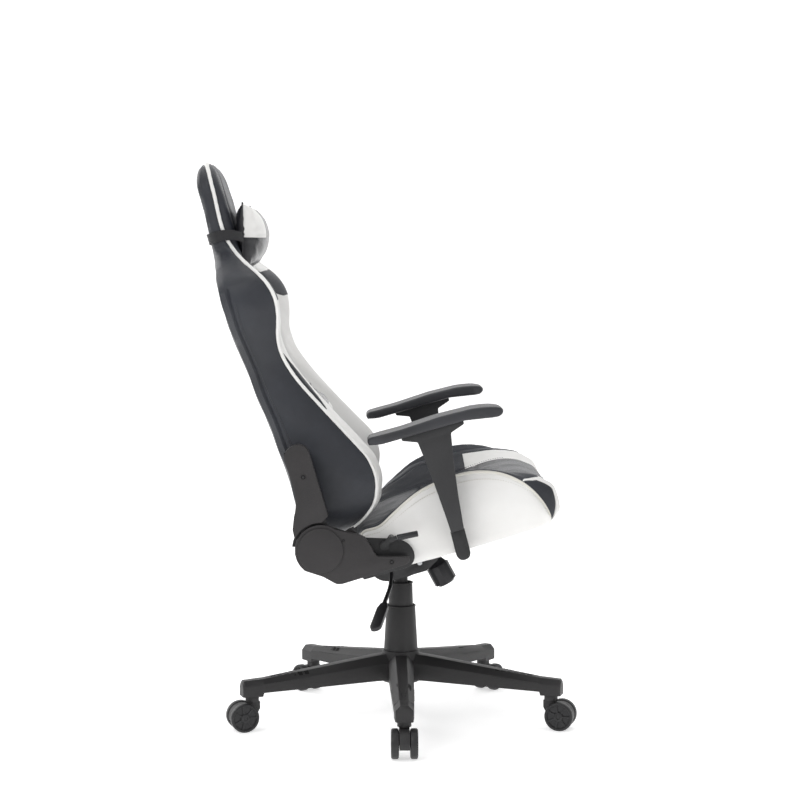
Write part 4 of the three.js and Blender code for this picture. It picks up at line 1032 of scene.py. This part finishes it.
def lumbar_pillow():
    place = pillow_frame(47, 190, 0)
    body = stuffed("lumbar_pillow", place, (158, 160, 26, 26), 7, "back")
    reshape(body, place, puckers)
    stripe = pillow_cover(body, place, "lumbar_pillow_white",
                          lambda p: 18 < abs(p.z) < 40, 0.7, WHITE, "back")
    trim_border(stripe)
    piece("lumbar_pillow_piping", *tube(pillow_rim(159, 161), 1.7, 8, closed=True), GLOSSY,
          "back", place, 70)


# ---- Straps -------------------------------------------------------------------------------

def ribbon(path, width, thick, across=(0, 1, 0)):
    """Flat tape: path points are its middle, across is the direction of its width."""
    path = np.asarray(path, float)
    across = np.asarray(across, float)
    t = np.gradient(path, axis=0)
    t /= np.linalg.norm(t, axis=1)[:, None]
    out = np.cross(t, across)
    out /= np.linalg.norm(out, axis=1)[:, None]
    section = [(-1, -0.5), (-0.94, 0.5), (-0.5, 0.62), (0, 0.66), (0.5, 0.62), (0.94, 0.5),
               (1, -0.5)]
    points = [path[i] + across * (u * width / 2) + out[i] * (w * thick)
              for i in range(len(path)) for u, w in section]
    n = len(section)
    return points, grid_faces(len(path), n, True) + end_faces(len(path), n)


def neck_strap():
    """Elastic band: round the rear of the headrest, then forward to the pillow's ends."""
    path = []
    for y in np.linspace(0, 122, 12):
        path.append((-48.2, y, 594))
    for angle in np.linspace(0, 90, 7)[1:]:
        a = math.radians(angle)
        path.append((-27 - 21.2 * math.cos(a), 122 + 22.5 * math.sin(a), 594))
    path += [(-14, 144.8, 593), (0, 142, 589), (9, 138.5, 584), (15, 134, 581)]
    path = curve(path, 4)
    left = path[::-1] * (1, -1, 1)
    full = np.vstack([left[:-1], path])
    band = ribbon(full, 20, 1.9, (0.0, 0.0, 1.0))
    piece("neck_strap_band", *band, WEB, "neck_pillow", smooth=50, replaces=("neck_strap",))
    edges = []
    for z in (-8.4, 8.4):
        line = full + np.array([0, 0, z])
        out = line * (0, 1, 0)
        out[:, 0] = np.where(np.abs(full[:, 1]) < 120, -1, 0)
        out[:, 1] = np.where(np.abs(full[:, 1]) < 120, 0, np.sign(full[:, 1]))
        edges.append(stitches(line + out * 1.2, out, 2.6, 4.2, 0.35))
    piece("neck_strap_edges", *merge(edges), DARK_THREAD, "neck_pillow")


def lumbar_strap():
    """Tape from the rear seam down the back, under it and up to the lumbar pillow."""
    heights = [506, 470, 430, 390, 350, 300, 250, 200, 150, 80, 28]
    path = [(BACK.at(back_v(z), 0)[0] - 2.4, 0, z) for z in heights]
    path += [(-24, 0, 12), (-16, 0, 5.4), (2, 0, 4.2), (16, 0, 5.2), (26, 0, 12)]
    path += [(30, 0, 40), (29, 0, 80), (27, 0, 112)]
    tape = ribbon(curve(path, 6), 25, 1.6)
    piece("lumbar_strap_tape", *tape, WEB, "back", smooth=50, replaces=("lumbar_strap",))
    strap_buckle(440)


def strap_buckle(height):
    """Ladder buckle on the rear of the back, with the strap's loose tail through it."""
    rear = BACK.at(back_v(height), 0)[0] - 7.6
    place = SEAT @ Matrix.Translation((rear / 1000, 0, height / 1000))
    points, faces = rounded_plate(17, 3, 1.5, 4.4)
    upper_bar = [(x, y, z + 16) for x, y, z in points], faces
    buckle = [hollow_plate(19, 26, 13, 19, 5, 5.2), rounded_plate(17, 4, 2, 3.0), upper_bar]
    obj = piece("strap_buckle_frame", *merge(buckle), SATIN, "back", place, 32,
                ("strap_buckle",))
    bevel(obj, 0.7, 2)
    path = [(-2.5, 0, 16), (-4.5, 0, 4), (-5.2, 0, -10), (-4.2, 0, -34), (-3.4, 0, -52)]
    piece("lumbar_strap_tail", *ribbon(path, 22, 1.4), WEB, "back", place, 50)


def rounded_outline(u, v, radius):
    """Rectangle of half sizes u and v with rounded corners."""
    steps = 5
    points = []
    for cu, cv, start in ((u - radius, v - radius, 0), (radius - u, v - radius, 90),
                          (radius - u, radius - v, 180), (u - radius, radius - v, 270)):
        for k in range(steps + 1):
            a = math.radians(start + 90 * k / steps)
            points.append((cu + radius * math.cos(a), cv + radius * math.sin(a)))
    return points


def rounded_plate(u, v, radius, thick):
    """Plate across x with rounded corners: half sizes u along y and v along z."""
    ring = rounded_outline(u, v, radius)
    n = len(ring)
    points = [(x, y, z) for x in (-thick / 2, thick / 2) for y, z in ring]
    return points, grid_faces(2, n, True) + end_faces(2, n)


def hollow_plate(u, v, inner_u, inner_v, radius, thick):
    """Rounded plate with a rounded window of half sizes inner_u and inner_v."""
    outer = rounded_outline(u, v, radius)
    inner = rounded_outline(inner_u, inner_v, radius * 0.5)
    n = len(outer)
    points = [(x, y, z) for x in (-thick / 2, thick / 2) for ring in (outer, inner)
              for y, z in ring]
    faces = []
    for k in range(n):
        m = (k + 1) % n
        faces += [(k, m, n + m, n + k), (2 * n + m, 2 * n + k, 3 * n + k, 3 * n + m),
                  (m, k, 2 * n + k, 2 * n + m), (n + k, n + m, 3 * n + m, 3 * n + k)]
    return points, faces


# ---- Hard parts ---------------------------------------------------------------------------

# Node beginnings: material and rounding of the edges in millimetres
NODE_FINISH = {
    "star_base": (BASE, 1.6), "cover_": (BASE, 1.0), "gas_cylinder": (PAINT, 0.6),
    "piston_tube": (STEEL, 0.5), "tilt_pin": (STEEL, 0.6), "castor_hood": (CASTOR, 1.4),
    "tension_knob": (SATIN, 1.0), "lever_paddle": (SATIN, 1.6), "recline_grip": (SATIN, 1.6),
    "recliner": (STEEL, 0.6), "lower_cover": (COVER, 2.2), "disc_cap": (COVER, 1.6),
    "upper_cover": (COVER, 2.6), "arm_sleeve": (ARM, 1.8), "arm_button": (SATIN, 0.8),
}


def plain_nodes():
    """Finer copies of the CAD nodes that nothing else stands for."""
    for node in sorted(BODY_OF):
        if frame["nodes"][node].hide_render:
            continue
        finish = next((f for n, f in NODE_FINISH.items() if node.startswith(n)), (PAINT, 0.8))
        cad_copy(node, finish[0], finish[1], 3)


def soft_pad(node):
    """Moulded armrest pad: the CAD node with its edges rounded right over."""
    obj = cad_copy(node, PAD_SKIN, 0)
    remesh = obj.modifiers.new("remesh", "REMESH")
    remesh.mode = "VOXEL"
    remesh.voxel_size = 0.0022
    smooth = obj.modifiers.new("smooth", "SMOOTH")
    smooth.factor = 0.5
    smooth.iterations = 14
    apply_modifiers(obj)
    shade(obj, 80)


def lathe(profile, steps):
    """Turned body round z from (radius, z) pairs, with flat ends."""
    points = [(radius * math.cos(2 * PI * k / steps), radius * math.sin(2 * PI * k / steps), z)
              for radius, z in profile for k in range(steps)]
    return points, grid_faces(len(profile), steps, True) + end_faces(len(profile), steps)


def block(low, high):
    """Box between two corners."""
    points = [(x, y, z) for x in (low[0], high[0]) for y in (low[1], high[1])
              for z in (low[2], high[2])]
    return points, [(0, 1, 3, 2), (4, 6, 7, 5), (0, 4, 5, 1), (2, 3, 7, 6), (0, 2, 6, 4),
                    (1, 5, 7, 3)]


def facing(place, axis):
    """Matrix that moves z to an axis and the origin to a place."""
    return Matrix.Translation(place) @ axis.to_track_quat("Z", "Y").to_matrix().to_4x4()


def turned(parts, angle):
    """The same shape turned about z."""
    points, faces = parts
    c, s = math.cos(angle), math.sin(angle)
    return [(x * c - y * s, x * s + y * c, z) for x, y, z in points], faces


def wheel_shape(radius, half):
    """Castor wheel with a stepped rim, seven ribs and a hub, its outer face towards +z."""
    profile = [(2, -half), (radius - 4, -half), (radius - 1, -half + 1), (radius, -half + 3),
               (radius, half - 3.4), (radius - 0.7, half - 1.6), (radius - 2.4, half - 0.5),
               (radius - 4.2, half - 0.4), (radius - 4.8, half - 1.4), (radius - 5.6, half - 1.6),
               (radius - 6.2, half - 3.8), (9.0, half - 3.8), (8.4, half - 0.8),
               (7.2, half - 0.1), (4.4, half), (4.0, half - 1.2), (0.3, half - 1.2)]
    ribs = [turned(block((8, -1.5, half - 4.2), (radius - 5.8, 1.5, half - 1.5)), 2 * PI * k / 7)
            for k in range(7)]
    return merge([lathe(profile, 48)] + ribs)


WHEEL_HALF_WIDTH = 7.3


def castor_wheels():
    for number in range(1, 6):
        angle = math.radians(-90 + 72 * (number - 1))
        for letter, sign in (("a", -1), ("b", 1)):
            node = f"castor_wheel_{number}_{letter}"
            low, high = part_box(node)
            radius = (high[2] - low[2]) * 500
            axis = Vector((-math.sin(angle), math.cos(angle), 0)) * sign
            piece(f"{node}_tread", *wheel_shape(radius, WHEEL_HALF_WIDTH), WHEEL, BODY_OF[node],
                  facing(centre(node), axis), 30, (node,))


SURFACES = {}


def cast_on(node, start, aim):
    """Point and outward direction, in metres, where a line first meets a CAD node."""
    obj = frame["nodes"][node]
    if node not in SURFACES:
        corners = [obj.matrix_world @ v.co for v in obj.data.vertices]
        SURFACES[node] = BVHTree.FromPolygons(corners, [list(p.vertices)
                                                        for p in obj.data.polygons])
    start = Vector(start)
    found = SURFACES[node].ray_cast(start, (Vector(aim) - start).normalized())
    return None if found[0] is None else found[:2]


# A vent slot's corners in metres: along the spoke, and down its flank
SLOT_CORNERS = ((-0.0045, 0), (0.0045, 0), (0.0015, 0.011), (-0.0075, 0.011))
SLOTS_PER_FLANK, FIRST_SLOT, SLOT_PITCH = 6, 0.196, 0.0125
SPOKE_HEIGHT, SPOKE_FALL = 0.113, 0.052  # a flank's height at the column, and its slope


def vent_slot(out, across, middle):
    """The four corners of one slot on a spoke's flank, just clear of its surface."""
    corners = []
    for along, drop in SLOT_CORNERS:
        foot = COLUMN_AT + out * (middle + along)
        height = SPOKE_HEIGHT - SPOKE_FALL * (middle + along) - drop * 0.7
        start = Vector((foot.x, foot.y, height + 0.035 - drop)) + across * 0.06
        found = cast_on("star_base", start, Vector((foot.x, foot.y, height - drop)))
        if found:
            corners.append(tuple((found[0] + found[1] * 0.00035) * 1000))
    return corners


def spoke_vents():
    """Row of slanted slots in a raised rim on both flanks of each spoke, near its end. Each slot
    is a flat near-black plate just clear of the flank: painted shade, not a real hollow.
    """
    frames, slots = [], []
    for number in range(5):
        angle = math.radians(-90 + 72 * number)
        out = Vector((math.cos(angle), math.sin(angle), 0))
        across = Vector((-math.sin(angle), math.cos(angle), 0))
        for side in (-1, 1):
            for k in range(SLOTS_PER_FLANK):
                ring = vent_slot(out, across * side, FIRST_SLOT + SLOT_PITCH * k)
                if len(ring) == 4:
                    slots.append((ring, [(0, 1, 2, 3)]))
                    frames.append(tube(ring, 0.45, 5, closed=True))
    if slots:
        # The slot plates are painted shade: near-black sheets where the real slots hold only
        # shadow.
        piece("spoke_vent_slot_shade", *merge(slots), PAINTED_SHADE, "base", WORLD, 20)
        piece("spoke_vent_rims", *merge(frames), BASE, "base", WORLD, 50)


def ring_lip(node, name, lift):
    """Rolled lip round the top of a column cover."""
    low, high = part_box(node)
    radius = min(high[0] - low[0], high[1] - low[1]) * 500
    ring = [(radius * lift * math.cos(a), radius * lift * math.sin(a), high[2] * 1000 - 1.2)
            for a in np.linspace(0, 2 * PI, 48, endpoint=False)]
    piece(name, *tube(ring, 1.3, 8, closed=True), BASE, BODY_OF[node], COLUMN, 60)


def screw_on(name, node, x, z, radius, side):
    """Recess with a domed screw, at x, z of the seat frame on a cover's outer face. The recess is
    a shallow near-black disc: painted shade.
    """
    start = SEAT @ Vector((x / 1000, side * 0.4, z / 1000))
    found = cast_on(node, start, SEAT @ Vector((x / 1000, 0, z / 1000)))
    if not found:
        return
    place = facing(*found)
    ring = [(radius * math.cos(a), radius * math.sin(a), 0.1)
            for a in np.linspace(0, 2 * PI, 28, endpoint=False)]
    piece(f"{name}_rim", *tube(ring, radius * 0.16, 6, closed=True), COVER, BODY_OF[node],
          place, 60)
    # The recess disc is flat and near-black: painted shade for the hollow round the screw.
    piece(f"{name}_well_shade", *lathe([(radius * 0.96, -0.3), (radius * 0.96, 0.12),
                                  (0.2, 0.12)], 28), PAINTED_SHADE, BODY_OF[node], place, 20)
    head = lathe([(radius * 0.55, 0), (radius * 0.55, 0.45), (radius * 0.35, 0.7), (0.2, 0.72)],
                 20)
    piece(f"{name}_head", *head, PAINT, BODY_OF[node], place, 40)


GUSSET_RADIUS = 52


def hinge_gussets():
    """Dark shoulder of the back hinge, seen between the upper cover and the disc."""
    for name in ("right", "left"):
        low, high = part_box(f"back_bracket_{name}")
        ring = [(0, 0)] + [(GUSSET_RADIUS * math.cos(a), GUSSET_RADIUS * math.sin(a))
                           for a in np.radians(np.linspace(100, 160, 12))]
        ends = [(low[1] - HINGE_AT.y) * 1000 + 0.4, (high[1] - HINGE_AT.y) * 1000 - 0.4]
        if ends[1] - ends[0] > 8:
            ends = [np.mean(ends) - 3, np.mean(ends) + 3]
        points = [(x, y, z) for y in ends for x, z in ring]
        faces = grid_faces(2, len(ring), True) + end_faces(2, len(ring))
        piece(f"hinge_gusset_{name}", points, faces, PAINT, "back")


def cover_screws():
    for name, side in (("right", -1), ("left", 1)):
        screw_on(f"upper_cover_screw_{name}", f"upper_cover_{name}", 7, 136, 4.4, side)
        screw_on(f"lower_cover_hole_{name}", f"lower_cover_{name}", 117, -55, 4.2, side)
        screw_on(f"lower_cover_screw_{name}", f"lower_cover_{name}", 44, 6, 2.8, side)
        screw_on(f"lower_cover_foot_{name}", f"lower_cover_{name}", -10, -49, 2.8, side)


# ---- Camera, light and floor --------------------------------------------------------------

def camera():
    """The picture's viewpoint, on the sitter's right and a little behind the column."""
    data = bpy.data.cameras.new("camera")
    data.sensor_width = 36
    data.lens = 88.96
    data.clip_end = 50
    obj = added("camera", data)
    obj.location = (COLUMN_AT[0] - 0.0804, COLUMN_AT[1] - 3.8166, 0.8977)
    look = Vector((0.0206, 0.9972, -0.0716)).normalized()
    obj.rotation_euler = look.to_track_quat("-Z", "Y").to_euler()
    bpy.context.scene.camera = obj


def lamp(name, place, aim, size, power):
    """Soft area lamp pointed at aim."""
    data = bpy.data.lights.new(name, "AREA")
    data.shape = "RECTANGLE"
    data.size, data.size_y = size
    data.energy = power
    obj = added(name, data)
    obj.location = place
    obj.rotation_euler = (Vector(aim) - Vector(place)).to_track_quat("-Z", "Y").to_euler()


def studio():
    """White floor that curves up behind the chair, a pale sky and four soft lamps."""
    n = Nodes("studio_white")
    tone = n.noise(n.place(), 2, 2)
    floor = n.finish(n.mix(tone, (0.93, 0.93, 0.93), (0.95, 0.95, 0.95)),
                     n.ramp(tone, 0, 1, 0.75, 0.85), Emission_Strength=0.55,
                     Emission_Color=(1, 1, 1, 1), Specular_IOR_Level=0.1)
    profile = [(-9, 0)] + [(6 + 2.5 * math.sin(a), 2.5 - 2.5 * math.cos(a))
                           for a in np.linspace(0, PI / 2, 16)] + [(8.5, 12)]
    mesh = bpy.data.meshes.new("floor")
    mesh.from_pydata([(x, y, z) for y, z in profile for x in (-12, 12)], [],
                     grid_faces(len(profile), 2))
    obj = added("floor", mesh)
    mesh.materials.append(floor)
    shade(obj, 60)
    world = bpy.data.worlds.new("world")
    bpy.context.scene.world = world
    world.use_nodes = True
    background = next(n for n in world.node_tree.nodes if n.type == "BACKGROUND")
    background.inputs["Color"].default_value = (1, 1, 1, 1)
    background.inputs["Strength"].default_value = 0.42
    lamp("key", (-2.2, -3.2, 3.4), (0, 0, 0.55), (2.2, 2.2), 56)
    lamp("fill", (3.0, -2.4, 1.6), (0, 0, 0.5), (1.6, 2.6), 15)
    lamp("rear", (-2.6, 1.6, 1.8), (-0.1, 0, 0.7), (1.0, 2.2), 24)
    lamp("top", (0.2, 0.2, 3.6), (0, 0, 0), (2.6, 2.6), 36)
    view = bpy.context.scene.view_settings
    view.view_transform = "Standard"


# ---- Assembly -----------------------------------------------------------------------------

camera()
back_body()
back_panels()
back_piping()
back_stitching()
seat_body()
seat_panels()
seat_piping()
neck_pillow_details(*neck_pillow())
lumbar_pillow()
neck_strap()
lumbar_strap()
soft_pad("arm_pad_right")
soft_pad("arm_pad_left")
castor_wheels()
plain_nodes()
spoke_vents()
ring_lip("cover_lower", "lower_cover_lip", 0.85)
ring_lip("cover_middle", "middle_cover_lip", 0.89)
cover_screws()
hinge_gussets()
studio()
